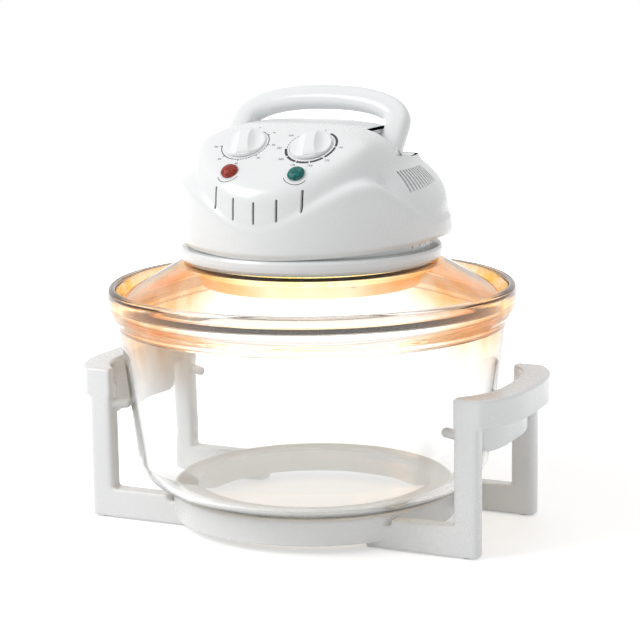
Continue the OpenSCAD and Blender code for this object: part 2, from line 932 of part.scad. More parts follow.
// Sweeps a rounded oval section along the loop
module handle() {
    path = loop_path();
    count = len(path);
    sides = 16;
    half_w = 10;
    half_t = 8.6;
    points = [
        for (i = [0 : count - 1])
            let (
                ahead = path[min(i + 1, count - 1)] - path[max(i - 1, 0)],
                u = ahead / norm(ahead),
                out = [u[1], -u[0]]
            )
                for (j = [0 : sides - 1])
                    let (
                        a = 360 * j / sides,
                        w = half_w * sign(cos(a)) * pow(abs(cos(a)), 0.85),
                        h = half_t * sign(sin(a)) * pow(abs(sin(a)), 0.85)
                    )
                        [path[i][0] + out[0] * w, path[i][1] + out[1] * w, h]
    ];
    faces = concat(
        [for (i = [0 : count - 2], j = [0 : sides - 1])
            let (k = (j + 1) % sides, a = i * sides)
                each quad(a + j, a + k, a + sides + k, a + sides + j)],
        [[for (j = [sides - 1 : -1 : 0]) j]],
        [[for (j = [0 : sides - 1]) (count - 1) * sides + j]]
    );
    color(white)
        handle_place()
            polyhedron(points, faces, convexity = 6);
}

// From the loop's plane, where y runs up the arms, to the lowered handle
module handle_place() {
    translate([0, handle_pivot[0], handle_pivot[1]])
        rotate([handle_lean, 0, 0])
            children();
}

// Cam radius shrinks evenly over the swing, so the plunger follows in proportion
function cam_point(a) =
    let (t = (a + 90) / handle_swing)
        (cam_r + plunger_travel * min(max(t, -1.25), 0.25)) * [cos(a), sin(a)];

module cam_outline() {
    start = -90 - 1.25 * handle_swing;
    stop = -90 + 0.25 * handle_swing;
    polygon(concat([[0, 0]], [for (i = [0 : 24]) cam_point(start + (stop - start) * i / 24)]));
    circle(6);
}

module handle_hubs() {
    color(white)
        difference() {
            union() {
                mirrored_pair() {
                    translate([handle_x - hub_half, handle_pivot[0], handle_pivot[1]])
                        rotate([0, 90, 0])
                            cylinder(r = 11, h = 2 * hub_half);
                    handle_place()
                        translate([handle_x - hub_half, 4.5, -8])
                            cube([2 * hub_half, hub_top - 4.5, 16]);
                }
                translate([cam_x, handle_pivot[0], handle_pivot[1]])
                    rotate([90, 0, 90])
                        linear_extrude(cam_w)
                            cam_outline();
                translate([cam_x + cam_w, handle_pivot[0], handle_pivot[1]])
                    rotate([0, 90, 0])
                        cylinder(r = 6, h = handle_x - hub_half - cam_x - cam_w);
            }
            mirrored_pair()
                translate([40, handle_pivot[0], handle_pivot[1]])
                    rotate([0, 90, 0])
                        cylinder(r = pin_r + fit_gap, h = 50);
        }
}

module handle_pins() {
    color(steel)
        mirrored_pair()
            translate([bracket_x, handle_pivot[0], handle_pivot[1]])
                rotate([0, 90, 0])
                    cylinder(r = pin_r, h = 36.5);
}

// Two upright plates on the heat shield that hold the handle's pins
module handle_brackets() {
    foot = 16;
    color(steel)
        mirrored_pair()
            difference() {
                union() {
                    translate([bracket_x, handle_pivot[0] - 10, shield_z + shield_t])
                        cube([3, 20, handle_pivot[1] - shield_z - shield_t]);
                    translate([bracket_x, handle_pivot[0], handle_pivot[1]])
                        rotate([0, 90, 0])
                            cylinder(r = 10, h = 3);
                    translate([bracket_x, handle_pivot[0] - 10, shield_z + shield_t])
                        cube([foot, 20, 2]);
                }
                translate([bracket_x - 1, handle_pivot[0], handle_pivot[1]])
                    rotate([0, 90, 0])
                        cylinder(r = pin_r, h = 5);
            }
}

module safety_switch() {
    color([0.15, 0.15, 0.17])
        difference() {
            translate([bracket_x + 3, handle_pivot[0] - 10, switch_top - 16]) cube([11.5, 20, 16]);
            translate([cam_mid, handle_pivot[0], switch_top - 10]) cylinder(r = plunger_r + fit_gap, h = 11);
        }
}

// Round-topped rod that the cam pushes down
module switch_plunger() {
    color([0.8, 0.15, 0.12]) {
        translate([cam_mid, handle_pivot[0], switch_top - 5])
            cylinder(r = plunger_r, h = plunger_top - plunger_r - switch_top + 5);
        translate([cam_mid, handle_pivot[0], plunger_top - plunger_r])
            sphere(plunger_r);
    }
}

// Mains inlet at the back of the skirt

module power_inlet() {
    color([0.1, 0.1, 0.11])
        translate([0, inlet_at[0], inlet_at[1]])
            rotate([90, 0, 0])
                difference() {
                    union() {
                        linear_extrude(20) round_rect(28.6, 21.6, 3);
                        translate([0, 0, -2]) linear_extrude(2) round_rect(34, 27, 3);
                    }
                    translate([0, 0, -3]) linear_extrude(18) round_rect(24, 16.5, 3);
                }
}

module inlet_pins() {
    color([0.8, 0.7, 0.4])
        for (p = [[-7, -2], [0, 2], [7, -2]])
            translate([p[0], inlet_at[0] - 15, inlet_at[1] + p[1]])
                rotate([-90, 0, 0])
                    translate([-1, -2, 0])
                        cube([2, 4, 11]);
}

base_ring();
side_frame_left();
side_frame_right();
bowl_pads();
feet();
stand_screws();
glass_bowl();
glass_lid();
lid_seal();
lower_ring();
clamp_collar();
collar_screws();
reflector();
halogen_lamp();
lamp_caps();
lamp_clips();
fan_guard();
guard_screws();
heat_shield();
shield_screws();
thermal_cutout();
motor_stator();
motor_coil();
motor_brackets();
motor_rotor();
motor_shaft();
circulation_fan();
cooling_fan();
fan_nut();
upper_housing();
control_bracket();
timer_body();
timer_shaft();
timer_knob();
thermostat_body();
thermostat_shaft();
thermostat_knob();
power_lens();
heat_lens();
pilot_lamps();
handle();
handle_hubs();
handle_pins();
handle_brackets();
safety_switch();
switch_plunger();
power_inlet();
inlet_pins();
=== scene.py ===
"""Looks of a halogen oven: glass bowl, glass lid, heater head, carrying handle and stand.

Sizes are in millimetres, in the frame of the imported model, and become metres where a mesh is made.
"""

import json
import logging
import math
from dataclasses import dataclass, field
from enum import Enum

import bmesh
import bpy
import numpy as np
from mathutils import Matrix, Vector

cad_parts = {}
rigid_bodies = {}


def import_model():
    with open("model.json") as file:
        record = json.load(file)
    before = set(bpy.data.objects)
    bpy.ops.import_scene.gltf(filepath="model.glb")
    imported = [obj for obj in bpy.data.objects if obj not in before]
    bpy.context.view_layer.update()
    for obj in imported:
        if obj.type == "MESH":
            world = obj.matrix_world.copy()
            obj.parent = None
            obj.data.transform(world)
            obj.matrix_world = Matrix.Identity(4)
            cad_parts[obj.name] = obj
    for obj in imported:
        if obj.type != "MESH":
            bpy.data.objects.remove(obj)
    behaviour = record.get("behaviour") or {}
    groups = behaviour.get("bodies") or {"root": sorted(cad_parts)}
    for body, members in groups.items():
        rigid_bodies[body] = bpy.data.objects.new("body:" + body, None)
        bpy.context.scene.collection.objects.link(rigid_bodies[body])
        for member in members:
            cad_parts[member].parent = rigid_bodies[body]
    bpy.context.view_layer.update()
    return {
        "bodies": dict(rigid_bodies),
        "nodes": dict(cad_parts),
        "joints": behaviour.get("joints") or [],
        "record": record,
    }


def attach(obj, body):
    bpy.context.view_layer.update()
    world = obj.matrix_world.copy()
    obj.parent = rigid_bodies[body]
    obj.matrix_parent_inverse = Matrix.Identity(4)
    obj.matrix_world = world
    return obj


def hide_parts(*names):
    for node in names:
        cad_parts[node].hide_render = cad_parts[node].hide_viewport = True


LOG = logging.getLogger("halogen_oven")
METRE = 0.001
ON_AXIS = 0.01
PRINT_LIFT = 0.06
FIGURE_SIZE = 3.0
FIRST_MINUTE, MINUTE_STEP = 5.6, 42.4
# Level direction at right angles to the camera's view: the painted glow in the glass is strongest where the
# glass faces along it, at the two sides seen from the camera.
SIDEWAYS_TO_CAMERA = (0.906, 0.423, 0.0)
WHITE = (1.0, 1.0, 1.0)
FAR = 10000.0
Array = np.ndarray
# Turns that stand a plan up: plan (u, v, w) to (w, u, v), to (u, -w, v), and across the middle plane.
ACROSS = np.array([[0.0, 0.0, 1.0, 0.0], [1.0, 0.0, 0.0, 0.0], [0.0, 1.0, 0.0, 0.0], [0.0, 0.0, 0.0, 1.0]])
FACING = np.array([[1.0, 0.0, 0.0, 0.0], [0.0, 0.0, -1.0, 0.0], [0.0, 1.0, 0.0, 0.0], [0.0, 0.0, 0.0, 1.0]])
MIRROR = np.diag([-1.0, 1.0, 1.0, 1.0])


class Detail(Enum):
    """How finely curved surfaces are divided."""

    QUICK = 0.4
    FULL = 1.0

    def steps(self, count: int, least: int = 8) -> int:
        """Scales a division count, to an even number."""
        return max(least, 2 * round(count * self.value / 2))


DETAIL = Detail.FULL


def signed_power(value: Array, exponent: float) -> Array:
    """Sign of the value times its size raised to the exponent."""
    return np.sign(value) * np.abs(value) ** exponent


def soft_min(values: list[Array], k: float) -> Array:
    """Rounded minimum: the sum of v^-k, raised to -1/k."""
    return sum(v ** -k for v in values) ** (-1.0 / k)


def soft_max(values: list[Array], k: float) -> Array:
    """Rounded maximum: the sum of v^k, raised to 1/k."""
    return sum(v ** k for v in values) ** (1.0 / k)


class Surface:
    """Collects grids of points and turns them into one mesh object."""

    def __init__(self, name: str) -> None:
        """Starts an empty surface.

        Args:
            name: name of the object that it becomes.
        """
        self.name = name
        self.points: list[Array] = []
        self.faces: list[Array] = []
        self.count = 0

    def _add(self, points: Array, faces: list[Array]) -> None:
        """Adds points (n, 3) and the faces that index them."""
        self.points.append(points)
        self.faces.extend(f + self.count for f in faces if len(f))
        self.count += len(points)

    def grid(self, points: Array, wrap_rows: bool = False, wrap_columns: bool = False,
             cap_start: bool = False, cap_end: bool = False, flip: bool = False) -> "Surface":
        """Adds a grid of quads, with fans at its ends where asked.

        Args:
            points: array of rows by columns by 3, in millimetres.
            wrap_rows: joins the last row to the first.
            wrap_columns: joins the last column to the first.
            cap_start: closes the first row with a fan to its middle.
            cap_end: closes the last row with a fan to its middle.
            flip: turns every face over.

        Returns:
            The surface itself.
        """
        rows, columns = points.shape[:2]
        i = np.arange(rows if wrap_rows else rows - 1)[:, None]
        j = np.arange(columns if wrap_columns else columns - 1)[None, :]
        i2, j2 = (i + 1) % rows, (j + 1) % columns
        quads = np.stack([i * columns + j, i * columns + j2, i2 * columns + j2, i2 * columns + j], -1)
        faces = [quads.reshape(-1, 4)]
        flat = points.reshape(-1, 3)
        ring = np.arange(columns)
        nxt = np.roll(ring, -1) if wrap_columns else ring + 1
        pairs = np.stack([ring, nxt], -1) if wrap_columns else np.stack([ring, nxt], -1)[:-1]
        for wanted, row, order in ((cap_start, 0, (1, 0)), (cap_end, rows - 1, (0, 1))):
            if wanted:
                middle = points[row].mean(axis=0)[None]
                edge = pairs + row * columns
                hub = np.full((len(edge), 1), len(flat))
                faces.append(np.hstack([edge[:, order], hub]))
                flat = np.vstack([flat, middle])
        if flip:
            faces = [f[:, ::-1] for f in faces]
        self._add(flat, faces)
        return self

    def prism(self, outline: Array, low: float, high: float) -> "Surface":
        """Adds a closed prism over a flat outline (n, 2), counted anticlockwise, from low to high."""
        n = len(outline)
        bottom = np.column_stack([outline, np.full(n, low)])
        top = np.column_stack([outline, np.full(n, high)])
        ring = np.arange(n)
        nxt = np.roll(ring, -1)
        sides = np.stack([ring, nxt, nxt + n, ring + n], -1)
        self._add(np.vstack([bottom, top]), [sides, ring[None, ::-1], ring[None] + n])
        return self

    def placed(self, matrix: Array) -> "Surface":
        """Moves every point added so far by a 4 by 4 matrix."""
        self.points = [p @ matrix[:3, :3].T + matrix[:3, 3] for p in self.points]
        return self

    def mirrored(self) -> "Surface":
        """Adds the mirror image across the YZ plane, turned the right way out."""
        shift = self.count
        points = np.vstack(self.points) * np.array([-1.0, 1.0, 1.0])
        self.faces.extend([f[:, ::-1] + shift for f in list(self.faces)])
        self.points.append(points)
        self.count += len(points)
        return self

    def build(self, smooth_angle: float = 35.0) -> bpy.types.Object:
        """Makes the mesh object.

        Args:
            smooth_angle: faces that meet at less than this many degrees shade smoothly.

        Returns:
            The new object, linked to the scene, with its place in its mesh.
        """
        mesh = bpy.data.meshes.new(self.name)
        points = np.vstack(self.points) * METRE
        sizes = np.concatenate([np.full(len(f), f.shape[1]) for f in self.faces])
        corners = np.concatenate([f.ravel() for f in self.faces]).astype(np.int32)
        mesh.vertices.add(len(points))
        mesh.vertices.foreach_set("co", points.astype(np.float32).ravel())
        mesh.loops.add(len(corners))
        mesh.loops.foreach_set("vertex_index", corners)
        mesh.polygons.add(len(sizes))
        starts = np.concatenate([[0], np.cumsum(sizes)[:-1]]).astype(np.int32)
        mesh.polygons.foreach_set("loop_start", starts)
        mesh.update(calc_edges=True)
        mesh.validate()
        piece = bpy.data.objects.new(self.name, mesh)
        bpy.context.scene.collection.objects.link(piece)
        shade(piece, smooth_angle)
        return piece


def shade(piece: bpy.types.Object, smooth_angle: float) -> None:
    """Shades a piece smoothly, but keeps edges sharper than smooth_angle degrees."""
    piece.data.shade_smooth()
    piece.data.set_sharp_from_angle(angle=math.radians(smooth_angle))


def lathe_points(profile: Array, segments: int) -> Array:
    """Turns a closed profile about the Z axis.

    The point at angle a of a profile point (r, z) is (r cos a, r sin a, z).

    Args:
        profile: array (n, 2) of radius and height, anticlockwise in the radius and height plane.
        segments: divisions round the axis.

    Returns:
        Array of segments by n by 3.
    """
    angle = np.linspace(0.0, 2.0 * np.pi, segments, endpoint=False)[:, None]
    r, z = profile[None, :, 0], profile[None, :, 1]
    return np.stack([r * np.cos(angle), r * np.sin(angle), z + 0.0 * angle], -1)


def rounded(corners: list[tuple[float, float, float]], steps: int = 6) -> Array:
    """Rounds the corners of a closed outline.

    Each corner (x, y, radius) becomes a quadratic curve that leaves its two sides at `radius` from it.

    Args:
        corners: the corner points with how far the rounding reaches along each side.
        steps: curve points per rounded corner.

    Returns:
        Array (n, 2) of the outline's points.
    """
    data = np.array(corners, float)
    here, reach = data[:, :2], data[:, 2:]
    before = np.roll(here, 1, axis=0) - here
    after = np.roll(here, -1, axis=0) - here
    start = here + before * reach / np.linalg.norm(before, axis=1, keepdims=True)
    end = here + after * reach / np.linalg.norm(after, axis=1, keepdims=True)
    t = np.linspace(0.0, 1.0, steps)[None, :, None]
    curve = (1 - t) ** 2 * start[:, None] + 2 * t * (1 - t) * here[:, None] + t ** 2 * end[:, None]
    sharp = data[:, 2] <= 0.0
    parts = [curve[k, :1] if sharp[k] else curve[k] for k in range(len(data))]
    return np.vstack(parts)


def arc(centre: tuple[float, float], radii: tuple[float, float], start: float, stop: float,
        steps: int) -> Array:
    """Points on an ellipse arc, from start to stop degrees."""
    a = np.radians(np.linspace(start, stop, steps))
    return np.column_stack([centre[0] + radii[0] * np.cos(a), centre[1] + radii[1] * np.sin(a)])


def turned(name: str, profile: Array, segments: int = 192, smooth_angle: float = 35.0) -> bpy.types.Object:
    """Makes a lathe piece from a closed profile."""
    points = lathe_points(profile, DETAIL.steps(segments, 32))
    return Surface(name).grid(points, True, True, flip=True).build(smooth_angle)


def tilt_x(degrees: float) -> Array:
    """4 by 4 turn about X."""
    return np.array(Matrix.Rotation(math.radians(degrees), 4, "X"))


def turn_z(degrees: float) -> Array:
    """4 by 4 turn about Z."""
    return np.array(Matrix.Rotation(math.radians(degrees), 4, "Z"))


def shift(x: float, y: float, z: float) -> Array:
    """4 by 4 move."""
    return np.array(Matrix.Translation((x, y, z)))


def applied(piece: bpy.types.Object, smooth_angle: float = 35.0) -> bpy.types.Object:
    """Applies a piece's modifiers and shades it again."""
    graph = bpy.context.evaluated_depsgraph_get()
    mesh = bpy.data.meshes.new_from_object(piece.evaluated_get(graph))
    piece.modifiers.clear()
    piece.data = mesh
    shade(piece, smooth_angle)
    return piece


def combined(piece: bpy.types.Object, tool: bpy.types.Object, operation: str) -> bpy.types.Object:
    """Joins, cuts or intersects a piece with a tool body, which is removed.

    Args:
        piece: the closed mesh that is changed.
        tool: the closed mesh that changes it.
        operation: UNION, DIFFERENCE or INTERSECT.

    Returns:
        The changed piece.
    """
    modifier = piece.modifiers.new("shape", "BOOLEAN")
    modifier.operation = operation
    modifier.solver = "EXACT"
    modifier.use_self = False
    modifier.object = tool
    applied(piece)
    bpy.data.objects.remove(tool)
    return piece


# Materials


def node_group(name: str, inputs: dict[str, float | tuple], outputs: dict[str, str]) -> tuple:
    """Starts a shader node group.

    Args:
        name: name of the group.
        inputs: default value of each input; a tuple of 4 makes a colour.
        outputs: kind of each output, "NodeSocketFloat" or "NodeSocketColor".

    Returns:
        The group, its input node and its output node.
    """
    group = bpy.data.node_groups.new(name, "ShaderNodeTree")
    for label, value in inputs.items():
        kind = "NodeSocketColor" if isinstance(value, tuple) else "NodeSocketFloat"
        group.interface.new_socket(label, in_out="INPUT", socket_type=kind).default_value = value
    for label, kind in outputs.items():
        group.interface.new_socket(label, in_out="OUTPUT", socket_type=kind)
    return group, group.nodes.new("NodeGroupInput"), group.nodes.new("NodeGroupOutput")


class Wiring:
    """Short ways to place and join shader nodes in one tree."""

    def __init__(self, tree: bpy.types.NodeTree) -> None:
        """Works in the given tree."""
        self.tree = tree

    def add(self, kind: str, settings: dict | None = None, **inputs) -> bpy.types.Node:
        """Adds a node.

        Args:
            kind: Blender's class name of the node.
            settings: attributes to set on it.
            inputs: values or output sockets for its inputs; _ in a name stands for a space.

        Returns:
            The node.
        """
        node = self.tree.nodes.new(kind)
        for key, value in (settings or {}).items():
            setattr(node, key, value)
        for key, value in inputs.items():
            self.feed(node, key.replace("_", " "), value)
        return node

    def feed(self, node: bpy.types.Node, key: str | int, value) -> None:
        """Links a socket, or sets a value, on one input of a node."""
        socket = node.inputs[key]
        if isinstance(value, bpy.types.NodeSocket):
            self.tree.links.new(value, socket)
        else:
            socket.default_value = value

    def math(self, operation: str, *values) -> bpy.types.NodeSocket:
        """Adds a Math node and returns its output."""
        node = self.tree.nodes.new("ShaderNodeMath")
        node.operation = operation
        for i, value in enumerate(values):
            self.feed(node, i, value)
        return node.outputs[0]

    def vector(self, operation: str, *values) -> bpy.types.NodeSocket:
        """Adds a Vector Math node and returns its first output."""
        node = self.tree.nodes.new("ShaderNodeVectorMath")
        node.operation = operation
        for i, value in enumerate(values):
            self.feed(node, i, value)
        return node.outputs[0] if operation not in ("LENGTH", "DOT_PRODUCT") else node.outputs["Value"]

    def ramp(self, value: bpy.types.NodeSocket, low, high) -> bpy.types.NodeSocket:
        """Maps low to 0 and high to 1, smoothly, held between them."""
        node = self.add("ShaderNodeMapRange", {"interpolation_type": "SMOOTHSTEP"}, Value=value,
                        From_Min=low, From_Max=high)
        return node.outputs["Result"]

    def mix(self, factor, first, second, blend: str = "MIX") -> bpy.types.NodeSocket:
        """Mixes two colours and returns the result."""
        node = self.tree.nodes.new("ShaderNodeMix")
        node.data_type = "RGBA"
        node.blend_type = blend
        self.feed(node, 0, factor)
        self.feed(node, 6, first)
        self.feed(node, 7, second)
        return node.outputs[2]

    def place(self) -> bpy.types.NodeSocket:
        """Object coordinates."""
        return self.add("ShaderNodeTexCoord").outputs["Object"]

    def point(self, x, y, z) -> bpy.types.NodeSocket:
        """Vector of three values."""
        return self.add("ShaderNodeCombineXYZ", None, X=x, Y=y, Z=z).outputs[0]

    def noise(self, vector, scale, detail: float = 3.0, rough: float = 0.5) -> bpy.types.NodeSocket:
        """Noise value at a vector."""
        return self.add("ShaderNodeTexNoise", None, Vector=vector, Scale=scale, Detail=detail,
                        Roughness=rough).outputs["Fac"]

    def group(self, group: bpy.types.NodeTree, **inputs) -> bpy.types.Node:
        """Places a node group with its own values."""
        return self.add("ShaderNodeGroup", {"node_tree": group}, **inputs)


class Groups:
    """Shader node groups that more than one finish uses, each built once."""

    _made: dict[str, bpy.types.NodeTree] = {}

    @classmethod
    def get(cls, name: str) -> bpy.types.NodeTree:
        """Returns a group by name, building it the first time."""
        if name not in cls._made:
            cls._made[name] = getattr(cls, "_" + name)()
        return cls._made[name]

    @staticmethod
    def _moulding() -> bpy.types.NodeTree:
        """Fine skin of moulded plastic: soft waves, fine grain, faint dust and a little colour drift."""
        colour = (0.9, 0.9, 0.9, 1.0)
        group, inside, outside = node_group(
            "moulding", {"Colour": colour, "Roughness": 0.3, "Grain Scale": 900.0, "Dust": 0.03},
            {"Colour": "NodeSocketColor", "Roughness": "NodeSocketFloat", "Height": "NodeSocketFloat"})
        w = Wiring(group)
        place = w.place()
        grain = w.noise(place, inside.outputs["Grain Scale"], 2.0)
        waves = w.noise(place, 22.0, 2.0)
        patches = w.ramp(w.noise(place, 9.0, 4.0, 0.6), 0.48, 0.75)
        specks = w.ramp(w.noise(place, 420.0, 1.0), 0.66, 0.74)
        dust = w.math("MULTIPLY", w.math("ADD", patches, w.math("MULTIPLY", specks, 0.6)),
                      inside.outputs["Dust"])
        tone = w.mix(dust, inside.outputs["Colour"], (0.62, 0.60, 0.56, 1.0))
        rough = w.math("ADD", inside.outputs["Roughness"],
                       w.math("ADD", w.math("MULTIPLY", w.math("SUBTRACT", grain, 0.5), 0.10),
                              w.math("MULTIPLY", dust, 1.5)))
        height = w.math("ADD", w.math("MULTIPLY", grain, 0.25), w.math("MULTIPLY", waves, 1.0))
        w.feed(outside, "Colour", tone)
        w.feed(outside, "Roughness", rough)
        w.feed(outside, "Height", height)
        return group

    @staticmethod
    def _spun() -> bpy.types.NodeTree:
        """Fine rings that a lathe or a spinning tool leaves on metal, plus faint stains."""
        group, inside, outside = node_group(
            "spun", {"Colour": (0.8, 0.8, 0.8, 1.0), "Roughness": 0.25, "Line Scale": 1400.0, "Stain": 0.1},
            {"Colour": "NodeSocketColor", "Roughness": "NodeSocketFloat", "Height": "NodeSocketFloat"})
        w = Wiring(group)
        place = w.place()
        parts = w.add("ShaderNodeSeparateXYZ", None, Vector=place)
        radius = w.vector("LENGTH", w.point(parts.outputs["X"], parts.outputs["Y"], 0.0))
        lines_at = w.point(radius, parts.outputs["Z"], 0.0)
        lines = w.noise(lines_at, inside.outputs["Line Scale"])
        stain = w.math("MULTIPLY", w.ramp(w.noise(place, 35.0, 5.0, 0.65), 0.5, 0.8), inside.outputs["Stain"])
        w.feed(outside, "Colour", w.mix(stain, inside.outputs["Colour"], (0.42, 0.33, 0.24, 1.0)))
        w.feed(outside, "Roughness", w.math("ADD", inside.outputs["Roughness"],
                                            w.math("ADD", w.math("MULTIPLY", lines, 0.12), stain)))
        w.feed(outside, "Height", lines)
        return group

    @staticmethod
    def _glow() -> bpy.types.NodeTree:
        """Painted glow of warm lamp light in curved glass: upright streaks, strongest at the two sides seen
        from the camera.
        """
        group, inside, outside = node_group(
            "glow", {"Low": 0.15, "High": 0.19, "Side": 0.7, "Streaks": 9.0},
            {"Mask": "NodeSocketFloat", "Streak": "NodeSocketFloat"})
        w = Wiring(group)
        place = w.place()
        parts = w.add("ShaderNodeSeparateXYZ", None, Vector=place)
        outward = w.vector("NORMALIZE", w.point(parts.outputs["X"], parts.outputs["Y"], 0.0))
        # Painted glow is strongest where the surface faces sideways to the camera, weaker where it faces the
        # camera or away.
        across = w.math("ABSOLUTE", w.vector("DOT_PRODUCT", outward, SIDEWAYS_TO_CAMERA))
        side = w.math("ADD", w.math("MULTIPLY", w.ramp(across, 0.40, 0.93), inside.outputs["Side"]),
                      w.math("SUBTRACT", 1.0, inside.outputs["Side"]))
        height = w.ramp(parts.outputs["Z"], inside.outputs["Low"], inside.outputs["High"])
        stretched = w.point(*(w.math("MULTIPLY", parts.outputs[axis], scale)
                              for axis, scale in (("X", 10.0), ("Y", 10.0), ("Z", 1.2))))
        streak = w.ramp(w.noise(stretched, inside.outputs["Streaks"], 2.0), 0.42, 0.64)
        mask = w.math("MULTIPLY", w.math("MULTIPLY", height, side),
                      w.math("ADD", 0.68, w.math("MULTIPLY", streak, 0.32)))
        w.feed(outside, "Mask", mask)
        w.feed(outside, "Streak", w.math("MULTIPLY", streak, height))
        return group


def emptied(block: bpy.types.ID) -> Wiring:
    """Empties the node tree of a material or world and returns its wiring."""
    block.use_nodes = True
    block.node_tree.nodes.clear()
    return Wiring(block.node_tree)


def new_material(name: str) -> tuple[bpy.types.Material, Wiring, bpy.types.Node]:
    """Starts a material with only its Principled shader and output.

    Returns:
        The material, its wiring and its Principled node.
    """
    material = bpy.data.materials.new(name)
    w = emptied(material)
    shader = w.add("ShaderNodeBsdfPrincipled")
    w.add("ShaderNodeOutputMaterial", None, Surface=shader.outputs["BSDF"])
    return material, w, shader


def bumped(w: Wiring, shader: bpy.types.Node, height, strength: float, distance: float) -> None:
    """Feeds a height to the shader's normal through a Bump node."""
    bump = w.add("ShaderNodeBump", None, Height=height, Strength=strength, Distance=distance)
    w.feed(shader, "Normal", bump.outputs["Normal"])


@dataclass(frozen=True)
class Plastic:
    """A moulded plastic, glossy or grained."""

    name: str
    colour: tuple[float, float, float]
    roughness: float = 0.28
    coat: float = 0.25
    grain: float = 900.0
    depth: float = 0.06
    dust: float = 0.02

    def build(self) -> bpy.types.Material:
        """Makes the material."""
        material, w, shader = new_material(self.name)
        skin = w.group(Groups.get("moulding"), Colour=(*self.colour, 1.0), Roughness=self.roughness,
                       Grain_Scale=self.grain, Dust=self.dust)
        w.feed(shader, "Base Color", skin.outputs["Colour"])
        w.feed(shader, "Roughness", skin.outputs["Roughness"])
        shader.inputs["IOR"].default_value = 1.5
        shader.inputs["Coat Weight"].default_value = self.coat
        shader.inputs["Coat Roughness"].default_value = 0.12
        bumped(w, shader, skin.outputs["Height"], self.depth, 0.0006)
        return material


@dataclass(frozen=True)
class Metal:
    """A bare or plated metal with turned or drawn lines."""

    name: str
    colour: tuple[float, float, float]
    roughness: float = 0.25
    lines: float = 1400.0
    depth: float = 0.05
    stain: float = 0.1
    glow: tuple[float, float, float] | None = None
    glow_strength: float = 0.0

    def build(self) -> bpy.types.Material:
        """Makes the material."""
        material, w, shader = new_material(self.name)
        skin = w.group(Groups.get("spun"), Colour=(*self.colour, 1.0), Roughness=self.roughness,
                       Line_Scale=self.lines, Stain=self.stain)
        w.feed(shader, "Base Color", skin.outputs["Colour"])
        w.feed(shader, "Roughness", skin.outputs["Roughness"])
        shader.inputs["Metallic"].default_value = 1.0
        bumped(w, shader, skin.outputs["Height"], self.depth, 0.0003)
        # Painted glow: an emission in warm streaked tints stands in for the lamp's light on the metal.
        if self.glow:
            band = w.group(Groups.get("glow"), Low=0.19, High=0.2, Side=0.0, Streaks=6.0)
            tint = w.mix(band.outputs["Streak"], (*self.glow, 1.0), (1.0, 0.80, 0.28, 1.0))
            w.feed(shader, "Emission Color", tint)
            shader.inputs["Emission Strength"].default_value = self.glow_strength
        return material


@dataclass(frozen=True)
class LitGlass:
    """Clear thick glass that holds some of the lamp's amber light."""

    name: str
    colour: tuple[float, float, float]
    amber: tuple[float, float, float]
    low: float
    high: float
    side: float
    streaks: float
    strength: float
    roughness: float = 0.015

    def build(self) -> bpy.types.Material:
        """Makes the material."""
        material, w, shader = new_material(self.name)
        glow = w.group(Groups.get("glow"), Low=self.low, High=self.high, Side=self.side, Streaks=self.streaks)
        mask = glow.outputs["Mask"]
        waves = w.noise(w.place(), 14.0, 2.0)
        # Painted glow: the mask mixes the amber colour into the base colour and lights it as emission,
        # standing in for lamp light gathered in the glass.
        w.feed(shader, "Base Color", w.mix(mask, (*self.colour, 1.0), (*self.amber, 1.0)))
        w.feed(shader, "Emission Color", w.mix(mask, (0.0, 0.0, 0.0, 1.0), (*self.amber, 1.0)))
        shader.inputs["Emission Strength"].default_value = self.strength
        shader.inputs["Transmission Weight"].default_value = 1.0
        shader.inputs["IOR"].default_value = 1.47
        shader.inputs["Metallic"].default_value = 0.0
        smear = w.ramp(w.noise(w.place(), 30.0, 4.0, 0.6), 0.55, 0.85)
        w.feed(shader, "Roughness", w.math("ADD", self.roughness, w.math("MULTIPLY", smear, 0.02)))
        bumped(w, shader, waves, 0.12, 0.0012)
        return material


@dataclass(frozen=True)
class Jewel:
    """Tinted lens with a light behind it."""

    name: str
    colour: tuple[float, float, float]
    bright: tuple[float, float, float]

    def build(self) -> bpy.types.Material:
        """Makes the material."""
        material, w, shader = new_material(self.name)
        cells = w.add("ShaderNodeTexVoronoi", None, Vector=w.place(), Scale=520.0)
        spark = w.ramp(cells.outputs["Distance"], 0.2, 0.75)
        w.feed(shader, "Base Color", w.mix(spark, (*self.colour, 1.0), (*self.bright, 1.0)))
        w.feed(shader, "Emission Color", w.mix(spark, (*self.colour, 1.0), (*self.bright, 1.0)))
        shader.inputs["Emission Strength"].default_value = 0.05
        shader.inputs["Roughness"].default_value = 0.25
        shader.inputs["Specular IOR Level"].default_value = 0.3
        bumped(w, shader, cells.outputs["Distance"], 0.5, 0.0006)
        return material


@dataclass(frozen=True)
class HotQuartz:
    """Glowing lamp tube."""

    name: str
    colour: tuple[float, float, float]
    strength: float

    def build(self) -> bpy.types.Material:
        """Makes the material."""
        material, w, shader = new_material(self.name)
        coil = w.noise(w.place(), 900.0, 1.0)
        w.feed(shader, "Base Color", w.mix(coil, (*self.colour, 1.0), (1.0, 0.92, 0.72, 1.0)))
        w.feed(shader, "Emission Color", w.mix(coil, (*self.colour, 1.0), (1.0, 0.92, 0.72, 1.0)))
        shader.inputs["Emission Strength"].default_value = self.strength
        shader.inputs["Roughness"].default_value = 0.08
        return material


@dataclass(frozen=True)
class Ink:
    """Thin printed paint, slightly worn."""

    name: str
    colour: tuple[float, float, float]

    def build(self) -> bpy.types.Material:
        """Makes the material."""
        material, w, shader = new_material(self.name)
        wear = w.ramp(w.noise(w.place(), 700.0, 3.0), 0.6, 0.8)
        w.feed(shader, "Base Color", w.mix(w.math("MULTIPLY", wear, 0.25), (*self.colour, 1.0),
                                           (0.5, 0.5, 0.5, 1.0)))
        shader.inputs["Roughness"].default_value = 0.55
        return material


